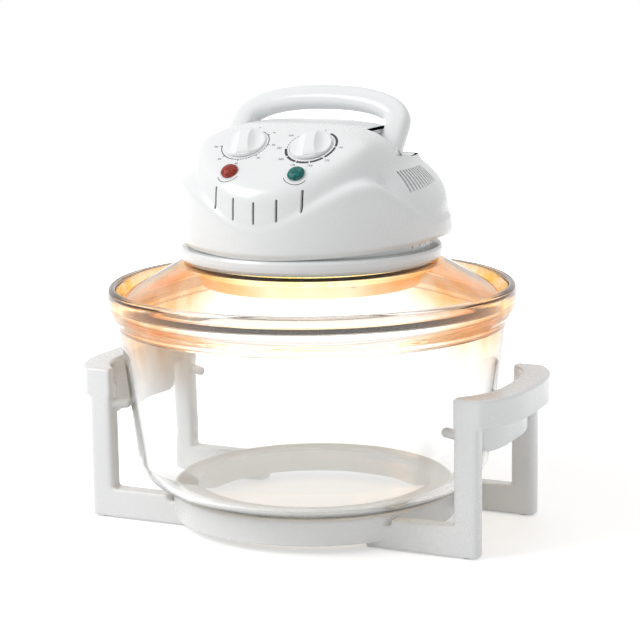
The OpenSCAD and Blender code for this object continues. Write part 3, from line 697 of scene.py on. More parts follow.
class Finishes:
    """Every finish of the oven, made once and handed out by name."""

    KINDS = {
        "white": Plastic("gloss_white_plastic", (0.86, 0.875, 0.88), 0.26, 0.35, 800.0, 0.05, 0.012),
        "knob": Plastic("knob_white_plastic", (0.88, 0.89, 0.895), 0.3, 0.25, 1000.0, 0.06, 0.01),
        "pad": Plastic("pad_rubber", (0.80, 0.81, 0.81), 0.6, 0.0, 1600.0, 0.25, 0.05),
        "foot": Plastic("foot_rubber", (0.55, 0.56, 0.56), 0.75, 0.0, 1500.0, 0.35, 0.12),
        "seal": Plastic("seal_rubber", (0.72, 0.70, 0.66), 0.7, 0.0, 1500.0, 0.3, 0.08),
        "black": Plastic("black_plastic", (0.025, 0.025, 0.028), 0.45, 0.0, 1300.0, 0.2, 0.05),
        "red": Plastic("red_plastic", (0.62, 0.05, 0.035), 0.35, 0.1, 1200.0, 0.1, 0.02),
        "cream": Plastic("control_plastic", (0.66, 0.62, 0.52), 0.5, 0.0, 1200.0, 0.2, 0.05),
        "board": Plastic("insulating_board", (0.62, 0.58, 0.50), 0.85, 0.0, 600.0, 0.5, 0.12),
        "ceramic": Plastic("lamp_ceramic", (0.82, 0.79, 0.72), 0.6, 0.0, 1400.0, 0.25, 0.06),
        "steel": Metal("screw_steel", (0.62, 0.63, 0.65), 0.3, 2200.0, 0.08, 0.1),
        "plated": Metal("plated_steel", (0.60, 0.61, 0.64), 0.38, 900.0, 0.06, 0.2),
        "lamination": Metal("stator_steel", (0.30, 0.30, 0.32), 0.5, 4000.0, 0.3, 0.35),
        "fan": Metal("fan_aluminium", (0.74, 0.75, 0.77), 0.3, 1200.0, 0.06, 0.12),
        "brass": Metal("contact_brass", (0.78, 0.60, 0.28), 0.3, 1500.0, 0.05, 0.12),
        "copper": Metal("coil_copper", (0.72, 0.30, 0.12), 0.35, 5200.0, 0.6, 0.1),
        # The lamp-side and tray metals carry a painted glow, an emission that stands in for the lamp's light
        # on them.
        "bright": Metal("lamp_side_metal", (0.97, 0.90, 0.66), 0.2, 1500.0, 0.05, 0.04,
                        (1.0, 0.93, 0.60), 0.6),
        "tray": Metal("tray_metal", (0.96, 0.85, 0.66), 0.24, 1500.0, 0.05, 0.04, (1.0, 0.85, 0.60), 0.26),
        "bowl": LitGlass("bowl_glass", (0.985, 0.99, 0.99), (0.78, 0.36, 0.03), 0.115, 0.182, 0.93, 7.0,
                         0.02),
        "lid": LitGlass("lid_glass", (1.0, 0.98, 0.95), (0.80, 0.37, 0.03), 0.178, 0.186, 0.84, 5.0, 0.03),
        "red_lens": Jewel("red_lens", (0.19, 0.012, 0.005), (0.36, 0.036, 0.015)),
        "green_lens": Jewel("green_lens", (0.0, 0.055, 0.05), (0.0, 0.17, 0.15)),
        "pilot": Plastic("pilot_lamp", (0.85, 0.85, 0.82), 0.15, 0.8, 900.0, 0.04, 0.0),
        "quartz": HotQuartz("lamp_quartz", (1.0, 0.78, 0.50), 2.6),
        "ink": Ink("black_print", (0.03, 0.03, 0.035)),
    }
    _made: dict[str, bpy.types.Material] = {}

    @classmethod
    def get(cls, name: str) -> bpy.types.Material:
        """Returns a finish's material, making it the first time."""
        if name not in cls._made:
            cls._made[name] = cls.KINDS[name].build()
        return cls._made[name]

    @classmethod
    def dress(cls, piece: bpy.types.Object, name: str) -> None:
        """Gives a piece one finish all over."""
        piece.data.materials.clear()
        piece.data.materials.append(cls.get(name))


def settle(piece: bpy.types.Object, finish: str, body: str, slot: str, *nodes: str) -> bpy.types.Object:
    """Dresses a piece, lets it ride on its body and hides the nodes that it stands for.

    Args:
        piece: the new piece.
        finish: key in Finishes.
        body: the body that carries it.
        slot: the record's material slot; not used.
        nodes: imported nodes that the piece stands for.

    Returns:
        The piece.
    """
    Finishes.dress(piece, finish)
    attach(piece, body)
    if nodes:
        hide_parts(*nodes)
    LOG.info("%s rides on %s", piece.name, body)
    return piece


# The object's parts


@dataclass
class Glassware:
    """The bowl, with its rolled rim and ledge, and the loose conical lid."""

    rim_radius: float = 167.8
    rim_height: float = 199.0
    floor_height: float = 26.0
    wall: float = 5.0
    ledge: float = 183.2
    lid_radius: float = 157.6
    lid_top: float = 218.0
    lid_wall: float = 5.0

    def bowl(self) -> bpy.types.Object:
        """Bowl profile: floor, an elliptical corner, a slanted wall, a neck and a rolled rim, turned."""
        corner = arc((96.0, 58.0), (50.0, 32.0), -90.0, 0.0, 26)
        inner_corner = arc((96.0, 58.0), (45.0, 27.0), 0.0, -90.0, 26)
        rim = rounded([(160.3, 165.0, 1.5), (161.2, 171.0, 1.5), (164.3, 174.6, 1.5), (167.4, 181.0, 3.0),
                       (self.rim_radius, 190.5, 3.0), (self.rim_radius - 1.0, 196.5, 2.0),
                       (self.rim_radius - 4.4, self.rim_height, 2.2), (160.4, self.rim_height - 2.2, 1.8),
                       (158.6, 190.0, 2.0), (158.2, self.ledge, 0.8), (154.8, self.ledge, 0.8),
                       (154.2, 166.0, 2.0)], 7)
        profile = np.vstack([[ON_AXIS, self.floor_height], corner, rim, inner_corner,
                             [ON_AXIS, self.floor_height + self.wall]])
        return turned("bowl_glass_body", profile, 288, 40.0)

    def lid(self) -> bpy.types.Object:
        """Lid profile: a slanted cone with a rounded outer edge and a flat clamped rim, turned."""
        low = self.ledge + 0.3
        top = self.lid_top
        profile = rounded([(86.0, top - self.lid_wall, 0.8), (103.6, top - self.lid_wall, 4.0),
                           (self.lid_radius - 5.0, low, 1.5), (self.lid_radius, low, 1.5),
                           (self.lid_radius, low + 4.2, 1.5), (self.lid_radius - 2.5, low + 6.4, 1.2),
                           (105.0, top, 4.0), (86.0, top, 0.8)], 7)
        return turned("lid_glass_cone", profile, 256, 40.0)

    def build(self) -> None:
        """Makes both pieces."""
        settle(self.bowl(), "bowl", "bowl", "bowl_glass", "glass_bowl")
        settle(self.lid(), "lid", "head", "lid_glass", "glass_lid")


@dataclass
class HousingForm:
    """The housing's outside as a distance from one point on the axis, in every direction.

    Each form limits that distance; forms are cut with soft_min and joined with soft_max.
    """

    polar: float = 250.0
    skirt: float = 110.0
    half: tuple[float, float] = (88.5, 106.0)
    top: float = 330.5
    tilt: float = 33.0
    panel: float = 87.4

    def skirt_at(self, phi: Array) -> Array:
        """Radius of the skirt: its mean - 4 cos phi - cos^2 phi, phi counted from the front."""
        return self.skirt - 4.0 * np.cos(phi) - np.cos(phi) ** 2

    def ridge_at(self, phi: Array) -> Array:
        """Height of the bumper's crest: low in front, highest 50 degrees round, low again behind."""
        p = np.degrees(np.abs(phi))
        rising = 255.0 + 33.0 * np.sin(np.radians(90.0 * np.minimum(p / 50.0, 1.0))) ** 1.8
        falling = 255.0 + 33.0 * np.cos(np.radians(90.0 * np.clip((p - 50.0) / 36.0, 0.0, 1.0))) ** 2
        return np.where(p < 50.0, rising, falling)

    def low_at(self, phi: Array) -> Array:
        """Height of the skirt's lower edge, which lifts towards the sides."""
        return 231.0 + 9.0 * (1.0 - np.maximum(np.cos(phi), 0.0))

    def hem(self, phi: Array, z: Array) -> Array:
        """Factor near the skirt's edge: 1 - 0.02 t^2 over the last 5 mm, 1 + 0.03 s^2 at the rear sides."""
        p = np.degrees(np.abs(phi))
        side = np.clip((p - 75.0) / 30.0, 0.0, 1.0) * (1.0 - np.clip((p - 140.0) / 25.0, 0.0, 1.0))
        drop = np.clip((self.low_at(phi) + 5.0 - z) / 5.0, 0.0, 1.0)
        flare = np.clip((264.0 - z) / 26.0, 0.0, 1.0)
        return 1.0 - 0.02 * drop ** 2 + 0.03 * side * flare ** 2

    @staticmethod
    def _plane(distance: float, across: Array) -> Array:
        """Distance to a plane: its own distance over the direction's share across it."""
        return np.where(across > 0.01, distance / np.maximum(across, 0.01), FAR)

    def reach(self, d: Array) -> Array:
        """Distance to the surface along unit directions (..., 3)."""
        x, y, z = d[..., 0], d[..., 1], d[..., 2]
        phi = np.arctan2(x, -y)
        c = np.maximum(np.hypot(x, y), 0.001)
        up = np.maximum(z, 0.001)
        a = math.radians(self.tilt)
        wall = 1.0 / np.sqrt((x / self.half[0]) ** 2 + (y / self.half[1]) ** 2 + 1e-12)
        crown = ((np.abs(x) / 97.0) ** 3.4 + (up / (self.top - self.polar)) ** 3.4) ** (-1.0 / 3.4)
        hood = soft_min([wall, self._plane(self.panel, -math.sin(a) * y + math.cos(a) * z), crown,
                         self._plane(59.4, 0.888 * y + 0.46 * z)], 18.0)
        ledge = math.tan(math.radians(18.0))
        skirt = self.skirt_at(phi)
        cap = (self.ridge_at(phi) - self.polar + skirt * ledge) / np.maximum(z + c * ledge, 0.01)
        bumper = soft_min([skirt / c, cap], 26.0)
        bell = ((c / (skirt + 1.5)) ** 2.6 + (up / 64.0) ** 2.6) ** (-1.0 / 2.6)
        rear = soft_min([bell, self._plane(51.8, z), self._plane(45.0, -y)], 22.0)
        return soft_max([hood, bumper, rear], 40.0)

    def skin(self, rows: int, columns: int, inset: float) -> Array:
        """Grid of the surface, from the skirt's lower edge to just short of the top.

        Args:
            rows: divisions in elevation.
            columns: divisions round the axis.
            inset: how far inside the surface the grid lies.

        Returns:
            Array of rows by columns by 3. The skirt tucks in over its last 9 mm.
        """
        phi = np.radians(np.arange(columns) * 360.0 / columns - 180.0)[None, :]
        start = np.arctan((self.low_at(phi) - self.polar) / (self.skirt_at(phi) * 0.98))
        e = start + (np.pi / 2 - start) * (np.arange(rows) / rows)[:, None]
        d = np.stack([np.cos(e) * np.sin(phi), -np.cos(e) * np.cos(phi), np.sin(e)], -1)
        r = self.reach(d)
        r = r * self.hem(phi, self.polar + r * np.sin(e)) - inset
        return r[..., None] * d + np.array([0.0, 0.0, self.polar])

    def panel_point(self, u: Array, v: Array, centre: tuple[float, float], tilt: float, lift: float) -> Array:
        """Point of the surface over a place on the panel, found by halving an interval.

        Args:
            u: distance across the panel.
            v: distance up the panel.
            centre: Y and Z of the panel's origin.
            tilt: tilt of the panel at that origin, in degrees.
            lift: how far over the surface the point lies.

        Returns:
            Array (..., 3).
        """
        a = math.radians(tilt)
        out = np.array([0.0, -math.sin(a), math.cos(a)])
        base = np.stack([u, centre[0] + v * math.cos(a), centre[1] + v * math.sin(a)], -1)
        base = base - np.array([0.0, 0.0, self.polar])
        low, high = np.full(u.shape, -25.0), np.full(u.shape, 25.0)
        for _ in range(34):
            mid = (low + high) / 2
            p = base + mid[..., None] * out
            size = np.linalg.norm(p, axis=-1)
            outside = size > self.reach(p / size[..., None])
            high = np.where(outside, mid, high)
            low = np.where(outside, low, mid)
        height = (low + high) / 2 + lift
        return base + height[..., None] * out + np.array([0.0, 0.0, self.polar])


@dataclass
class Head:
    """The housing with its slots, vents, pockets, printing, knobs and lenses."""

    form: HousingForm = field(default_factory=HousingForm)
    shell: float = 3.0
    pivot: tuple[float, float] = (-6.2, 297.0)
    handle_x: float = 69.0
    dial_x: float = 28.7
    dial_at: tuple[float, float] = (-58.9, 314.6)
    lens_at: tuple[float, float] = (-87.4, 296.1)
    panel_tilt: float = 31.0
    lens_tilt: float = 40.0
    knob_radius: float = 16.8
    knob_lift: float = 0.9
    recess: float = 0.35
    knob_turn: float = 16.0

    def _shell(self) -> bpy.types.Object:
        """Outer and inner skin joined at the skirt's edge, each closed at the top by a fan."""
        columns = DETAIL.steps(320)
        outer = self.form.skin(DETAIL.steps(150), columns, 0.0)
        inner = self.form.skin(DETAIL.steps(40), columns, self.shell)
        surface = Surface("housing_shell")
        joined = np.concatenate([inner[::-1], outer], axis=0)
        return surface.grid(joined, False, True, True, True).build()

    def _pocket(self, grow: float) -> Surface:
        """Side outline of a pocket for the handle's arm, carried across X, on both sides."""
        y0, z0 = self.pivot
        g = grow
        outline = rounded([(y0 - 12.5 - g, z0 - 12.5 - g, 4.0), (y0 + 12.7 + g, z0 - 12.5 - g, 4.0),
                           (y0 + 19.0 + g, z0 + 5.6 - g, 4.0), (70.0, z0 + 5.6 - g, 0.0), (70.0, 350.0, 0.0),
                           (y0 - 12.5 - g, 350.0, 0.0)], 6)
        half = 11.5 + grow
        block = Surface("pocket").prism(outline, self.handle_x - half, self.handle_x + half)
        return block.placed(ACROSS).mirrored()

    def _shoulder(self, grow: float) -> Surface:
        """Side outline of the open space over the shoulder beside each arm, carried out across X."""
        y0, z0 = self.pivot
        g = grow
        outline = rounded([(y0 - 12.5 - g, z0 + 8.4 - g, 1.5), (y0 + 19.0, z0 + 5.5 - g, 3.0),
                           (72.0, z0 + 5.5 - g, 0.0), (72.0, 352.0, 0.0), (y0 - 12.5 - g, 352.0, 0.0)], 5)
        block = Surface("shoulder").prism(outline, self.handle_x, self.handle_x + 40.0)
        return block.placed(ACROSS).mirrored()

    def _liner(self) -> bpy.types.Object:
        """Walls of the two pockets: the housing's solid form met with grown pockets, less the pockets."""
        columns = DETAIL.steps(160)
        skin = self.form.skin(DETAIL.steps(70), columns, 0.5)
        solid = Surface("pocket_walls").grid(skin, False, True, True, True).build()
        grown = combined(self._pocket(2.0).build(), self._shoulder(2.0).build(), "UNION")
        combined(solid, grown, "INTERSECT")
        combined(solid, self._pocket(0.0).build(), "DIFFERENCE")
        return combined(solid, self._shoulder(0.0).build(), "DIFFERENCE")

    def _slot_tool(self) -> Surface:
        """Five upright slots with round ends, each a flat oval carried along Y."""
        surface = Surface("slots")
        for x in (-37.0, -18.5, 0.0, 18.5, 37.0):
            mid = 267.0 + 9.8 * (x / 37.0) ** 2
            oval = np.vstack([arc((x, mid + 7.8), (1.0, 1.0), 0.0, 180.0, 9),
                              arc((x, mid - 7.8), (1.0, 1.0), 180.0, 360.0, 9)])
            surface.prism(oval, 80.0, 125.0)
        return surface.placed(FACING)

    def _vent_tool(self) -> Surface:
        """Eleven slanted vents on each side, each a thin wedge between two outward rays."""
        surface = Surface("vents")
        for i in range(11):
            top = (math.radians(72.5 + i * 2.4), 294.5 + i * 0.1)
            low = (math.radians(73.5 + i * 2.45), 278.5 + i * 0.45)
            ends = []
            for angle, z in (top, low):
                out = np.array([math.sin(angle), -math.cos(angle), 0.0])
                ends.append((out, z))
            run = ends[0][0] * 110.0 + [0, 0, ends[0][1]] - ends[1][0] * 110.0 - [0, 0, ends[1][1]]
            side = np.cross(run / np.linalg.norm(run), ends[0][0] + ends[1][0])
            side = 0.95 * side / np.linalg.norm(side)
            corners = [out * r + [0.0, 0.0, z] + s * side
                       for out, z in ends for r in (78.0, 122.0) for s in (-1.0, 1.0)]
            ring = np.array(corners).reshape(2, 4, 3)[:, [0, 1, 3, 2]]
            surface.grid(ring, False, True, True, True)
        return surface.mirrored()

    def _hole_tool(self) -> Surface:
        """Round holes for the shafts and lenses, round seats for the knobs, and the inlet's rounded window.
        """
        surface = Surface("holes")
        for centre, tilt, radius, low in ((self.dial_at, self.panel_tilt, 4.5, -15.0),
                                          (self.dial_at, self.panel_tilt, self.knob_radius + 1.2,
                                           self.recess),
                                          (self.lens_at, self.lens_tilt, 6.3, -15.0)):
            for x in (-self.dial_x, self.dial_x):
                tool = Surface("hole").prism(arc((0.0, 0.0), (radius, radius), 0.0, 355.0, 72), low, 15.0)
                tool.placed(shift(x, *centre) @ tilt_x(tilt) @ turn_z(2.0 * radius))
                surface._add(np.vstack(tool.points), tool.faces)
        window = rounded([(-14.5, -11.0, 3.0), (14.5, -11.0, 3.0), (14.5, 11.0, 3.0), (-14.5, 11.0, 3.0)])
        back = Surface("window").prism(window, 60.0, 140.0)
        back.placed(shift(0.0, 0.0, 262.0) @ tilt_x(-90.0))
        surface._add(np.vstack(back.points), back.faces)
        return surface

    def housing(self) -> None:
        """Cuts the shell, adds the pocket walls and dresses the result."""
        shell = self._shell()
        for tool in (self._pocket(0.0), self._shoulder(0.0), self._slot_tool(), self._vent_tool(),
                     self._hole_tool()):
            body = tool.build()
            fix_normals(body)
            combined(shell, body, "DIFFERENCE")
        settle(shell, "white", "head", "white_plastic", "upper_housing")
        settle(self._liner(), "white", "head", "white_plastic")

    def _arc(self, surface: Surface, x: float, angles: Array, radii: tuple[float, float],
             at: tuple[float, float], tilt: float) -> None:
        """Adds a printed arc; angles are counted clockwise from the top, in degrees."""
        a = np.radians(angles)[:, None]
        r = np.array(radii)[None, :]
        points = self.form.panel_point(x + r * np.sin(a), r * np.cos(a), at, tilt, PRINT_LIFT)
        surface.grid(points, flip=True)

    def _band(self, surface: Surface, x: float, start: float, stop: float, r_in: float, r_out: float) -> None:
        """Adds a printed arc about a dial, from start to stop."""
        steps = max(4, int(abs(stop - start) / 3.0))
        self._arc(surface, x, np.linspace(start, stop, steps), (r_in, r_out), self.dial_at, self.panel_tilt)

    def _numbers(self, labels: list[tuple[str, float, float, float]], name: str) -> bpy.types.Object:
        """Prints plain numbers round a dial.

        Args:
            labels: text, dial centre's X, clockwise angle in degrees and radius of each number.
            name: name of the piece.

        Returns:
            One mesh object that follows the panel.
        """
        surface = Surface(name)
        for text, x, angle, radius in labels:
            curve = bpy.data.curves.new(name, "FONT")
            curve.body = text
            curve.size = FIGURE_SIZE
            curve.align_x = "CENTER"
            curve.align_y = "CENTER"
            curve.offset = 0.02
            curve.resolution_u = 3
            holder = bpy.data.objects.new(name, curve)
            bpy.context.scene.collection.objects.link(holder)
            bpy.context.view_layer.update()
            graph = bpy.context.evaluated_depsgraph_get()
            mesh = bpy.data.meshes.new_from_object(holder.evaluated_get(graph))
            flat = np.empty(len(mesh.vertices) * 3)
            mesh.vertices.foreach_get("co", flat)
            mesh.calc_loop_triangles()
            corners = np.empty(len(mesh.loop_triangles) * 3, np.int32)
            mesh.loop_triangles.foreach_get("vertices", corners)
            flat = flat.reshape(-1, 3)
            a = math.radians(angle)
            u = x + radius * math.sin(a) + flat[:, 0]
            v = radius * math.cos(a) + flat[:, 1]
            printed = self.form.panel_point(u, v, self.dial_at, self.panel_tilt, PRINT_LIFT)
            surface._add(printed, [corners.reshape(-1, 3)])
            bpy.data.objects.remove(holder)
            bpy.data.curves.remove(curve)
            bpy.data.meshes.remove(mesh)
        return surface.build()

    def printing(self) -> None:
        """Prints the two dial rings, their ticks and plain numbers, and the arcs under the lenses."""
        rings = Surface("dial_rings")
        left, right = -self.dial_x, self.dial_x
        self._band(rings, left, 26.0, 100.0, 19.1, 19.8)
        for k in range(13):
            self._band(rings, left, 101.5 + 6.5 * k, 106.0 + 6.5 * k, 19.1, 19.8)
        self._band(rings, left, 186.0, 262.0, 19.1, 19.8)
        for k in range(7):
            angle = FIRST_MINUTE + MINUTE_STEP * k
            self._band(rings, left, angle - 0.9, angle + 0.9, 19.75, 21.4)
        for k in range(15):
            angle = 136.0 + 8.2 * k
            self._band(rings, right, angle, angle + 1.4, 18.9, 19.5)
        for start, stop in ((28.0, 88.0), (91.0, 128.0), (132.0, 162.0), (165.0, 195.0), (198.0, 227.0),
                            (230.0, 258.0), (352.0, 363.0)):
            self._band(rings, right, start, stop, 19.4, 21.4)
        for k in range(9):
            self._band(rings, right, 261.0 + 8.4 * k, 267.0 + 8.4 * k, 19.5, 20.0)
        settle(rings.build(), "ink", "head", "black_plastic")
        minutes = [(str(10 * k), left, FIRST_MINUTE + MINUTE_STEP * k, 24.6) for k in range(7)]
        settle(self._numbers(minutes, "timer_numbers"), "ink", "head", "black_plastic")
        degrees = [("0", right, 8.0, 23.6), ("65", right, 90.0, 25.4), ("125", right, 130.0, 25.4),
                   ("150", right, 162.0, 24.8), ("175", right, 196.0, 24.8), ("200", right, 228.0, 26.0),
                   ("225", right, 262.0, 26.4), ("250", right, 300.0, 26.0)]
        settle(self._numbers(degrees, "thermostat_numbers"), "ink", "head", "black_plastic")
        arcs = Surface("lens_arcs")
        for x in (left, right):
            self._arc(arcs, x, np.linspace(118.0, 242.0, 32), (10.0, 10.5), self.lens_at, self.lens_tilt)
        settle(arcs.build(), "ink", "head", "black_plastic")

    def _knob(self, name: str) -> bpy.types.Object:
        """Knob: a round cap with a scoop on each side, which leave a ridge that widens to both ends.

        On the cap the height is that of the ridge's arch, and past the ridge's flank it falls to the scoop:
        arch = 2.8 + 3.6 (1 - |v/15.6|^2.6)^0.5, scoop = 1.3 + 0.9 (r/R)^4, flank at 3.7 + 1.6 (v/R)^2 from
        the middle line, with u across the ridge, v along it, r the distance from the axis and R the cap's
        radius.
        """
        big = self.knob_radius
        r = big * (1.0 - (1.0 - np.linspace(0.0, 1.0, DETAIL.steps(84))) ** 1.15)[::-1, None]
        a = np.linspace(0.0, 2 * np.pi, DETAIL.steps(224), endpoint=False)[None, :]
        u, v = r * np.cos(a), r * np.sin(a)
        arch = 2.8 + 3.6 * np.maximum(1.0 - np.abs(v / 15.6) ** 2.6, 0.0) ** 0.5
        scoop = 1.3 + 0.9 * (r / big) ** 4
        flank = 1.0 - (1.0 - np.clip((np.abs(u) - (3.7 + 1.6 * (v / big) ** 2)) / 8.5, 0.0, 1.0)) ** 1.7
        z = arch * (1.0 - flank) + scoop * flank
        edge = np.clip((r - (big - 1.6)) / 1.6, 0.0, 1.0)
        z = z - 0.9 * (1.0 - np.sqrt(np.maximum(1.0 - edge ** 2, 0.0)))
        cap = np.stack([u, v, z + 0.0 * u], -1)
        side = np.stack([cap[0][:, :2]] * 3)
        levels = np.array([0.0, 0.3, 0.9])[:, None, None]
        shrink = np.array([0.975, 1.0, 1.0])[:, None, None]
        side = np.concatenate([side * shrink, levels + 0.0 * side[..., :1]], -1)
        return Surface(name).grid(np.concatenate([side, cap[:-1]]), False, True, True, True).build(50.0)

    def knobs(self) -> None:
        """Makes both knobs and sets them on the panel."""
        for side, node in ((-1.0, "timer"), (1.0, "thermostat")):
            knob = self._knob(node + "_dial_knob")
            place = (shift(side * self.dial_x, *self.dial_at) @ tilt_x(self.panel_tilt)
                     @ shift(0.0, 0.0, self.knob_lift) @ turn_z(self.knob_turn))
            matrix = Matrix(place.tolist())
            matrix.translation = matrix.translation * METRE
            knob.data.transform(matrix)
            settle(knob, "knob", node, "white_plastic", node + "_knob")

    def lenses(self) -> None:
        """Makes the two faceted lenses: a flange, then a dome in flat facets."""
        for side, node, slot_name in ((-1.0, "power_lens", "red_lens"), (1.0, "heat_lens", "green_lens")):
            flange = rounded([(ON_AXIS, -6.0, 0.0), (6.0, -6.0, 0.5), (6.0, 1.0, 0.3), (7.0, 1.0, 0.3),
                              (7.0, 1.9, 0.4), (6.4, 2.2, 0.2), (ON_AXIS, 2.2, 0.0)], 4)
            body = Surface(node + "_jewel").grid(lathe_points(flange, 64), True, True, flip=True)
            angle = np.radians(np.linspace(0.0, 84.0, 6))[:, None]
            turn = np.linspace(0.0, 2 * np.pi, 18, endpoint=False)[None, :]
            turn = turn + np.arange(6)[:, None] * np.pi / 18
            dome = np.stack([6.4 * np.cos(angle) * np.cos(turn), 6.4 * np.cos(angle) * np.sin(turn),
                             2.2 + 2.7 * np.sin(angle) + 0.0 * turn], -1)
            body.grid(dome, False, True, True, True)
            body.placed(shift(side * self.dial_x, *self.lens_at) @ tilt_x(self.lens_tilt))
            settle(body.build(12.0), slot_name, "head", slot_name, node)

    def build(self) -> None:
        """Makes every visible piece of the head."""
        self.housing()
        self.printing()
        self.knobs()
        self.lenses()


def fix_normals(piece: bpy.types.Object) -> None:
    """Turns all faces of closed shells outwards."""
    mesh = bmesh.new()
    mesh.from_mesh(piece.data)
    bmesh.ops.recalc_face_normals(mesh, faces=mesh.faces)
    mesh.to_mesh(piece.data)
    mesh.free()


@dataclass
class CarryHandle:
    """The bail handle: a superellipse arch on two straight arms, swept with an oval section."""

    half_span: float = 69.0
    pivot: tuple[float, float] = (-6.2, 297.0)
    reach: float = 66.0
    lean: float = 48.0
    straight: float = 38.0
    hub_top: float = 11.5
    half_width: float = 10.0
    half_depth: float = 8.6

    def loop(self) -> Array:
        """Centre line in the handle's own plane: arms straight up, then |x/a|^n + |s/b|^n = 1."""
        a = np.linspace(0.0, np.pi, DETAIL.steps(160))
        arch = np.column_stack([
            self.half_span * signed_power(np.cos(a), 2 / 2.25),
            self.straight + (self.reach - self.straight) * np.abs(np.sin(a)) ** (2 / 2.25)])
        rise = np.linspace(self.hub_top, self.straight, 12)[:-1]
        right = np.column_stack([np.full(11, self.half_span), rise])
        left = np.column_stack([np.full(11, -self.half_span), rise[::-1]])
        return np.vstack([right, arch, left])

    def build(self) -> None:
        """Sweeps the section along the loop and leans it back."""
        path = self.loop()
        ahead = np.gradient(path, axis=0)
        ahead /= np.linalg.norm(ahead, axis=1, keepdims=True)
        out = np.column_stack([ahead[:, 1], -ahead[:, 0]])
        a = np.linspace(0.0, 2 * np.pi, DETAIL.steps(72), endpoint=False)
        w = self.half_width * signed_power(np.cos(a), 0.80)[None, :]
        h = self.half_depth * signed_power(np.sin(a), 0.80)[None, :]
        points = np.stack([path[:, :1] + out[:, :1] * w, path[:, 1:] + out[:, 1:] * w,
                           h + 0.0 * path[:, :1]], -1)
        surface = Surface("bail_handle").grid(points, False, True, True, True)
        surface.placed(shift(0.0, *self.pivot) @ tilt_x(self.lean))
        piece = surface.build(50.0)
        fix_normals(piece)
        settle(piece, "white", "carrying_handle", "white_plastic", "handle")


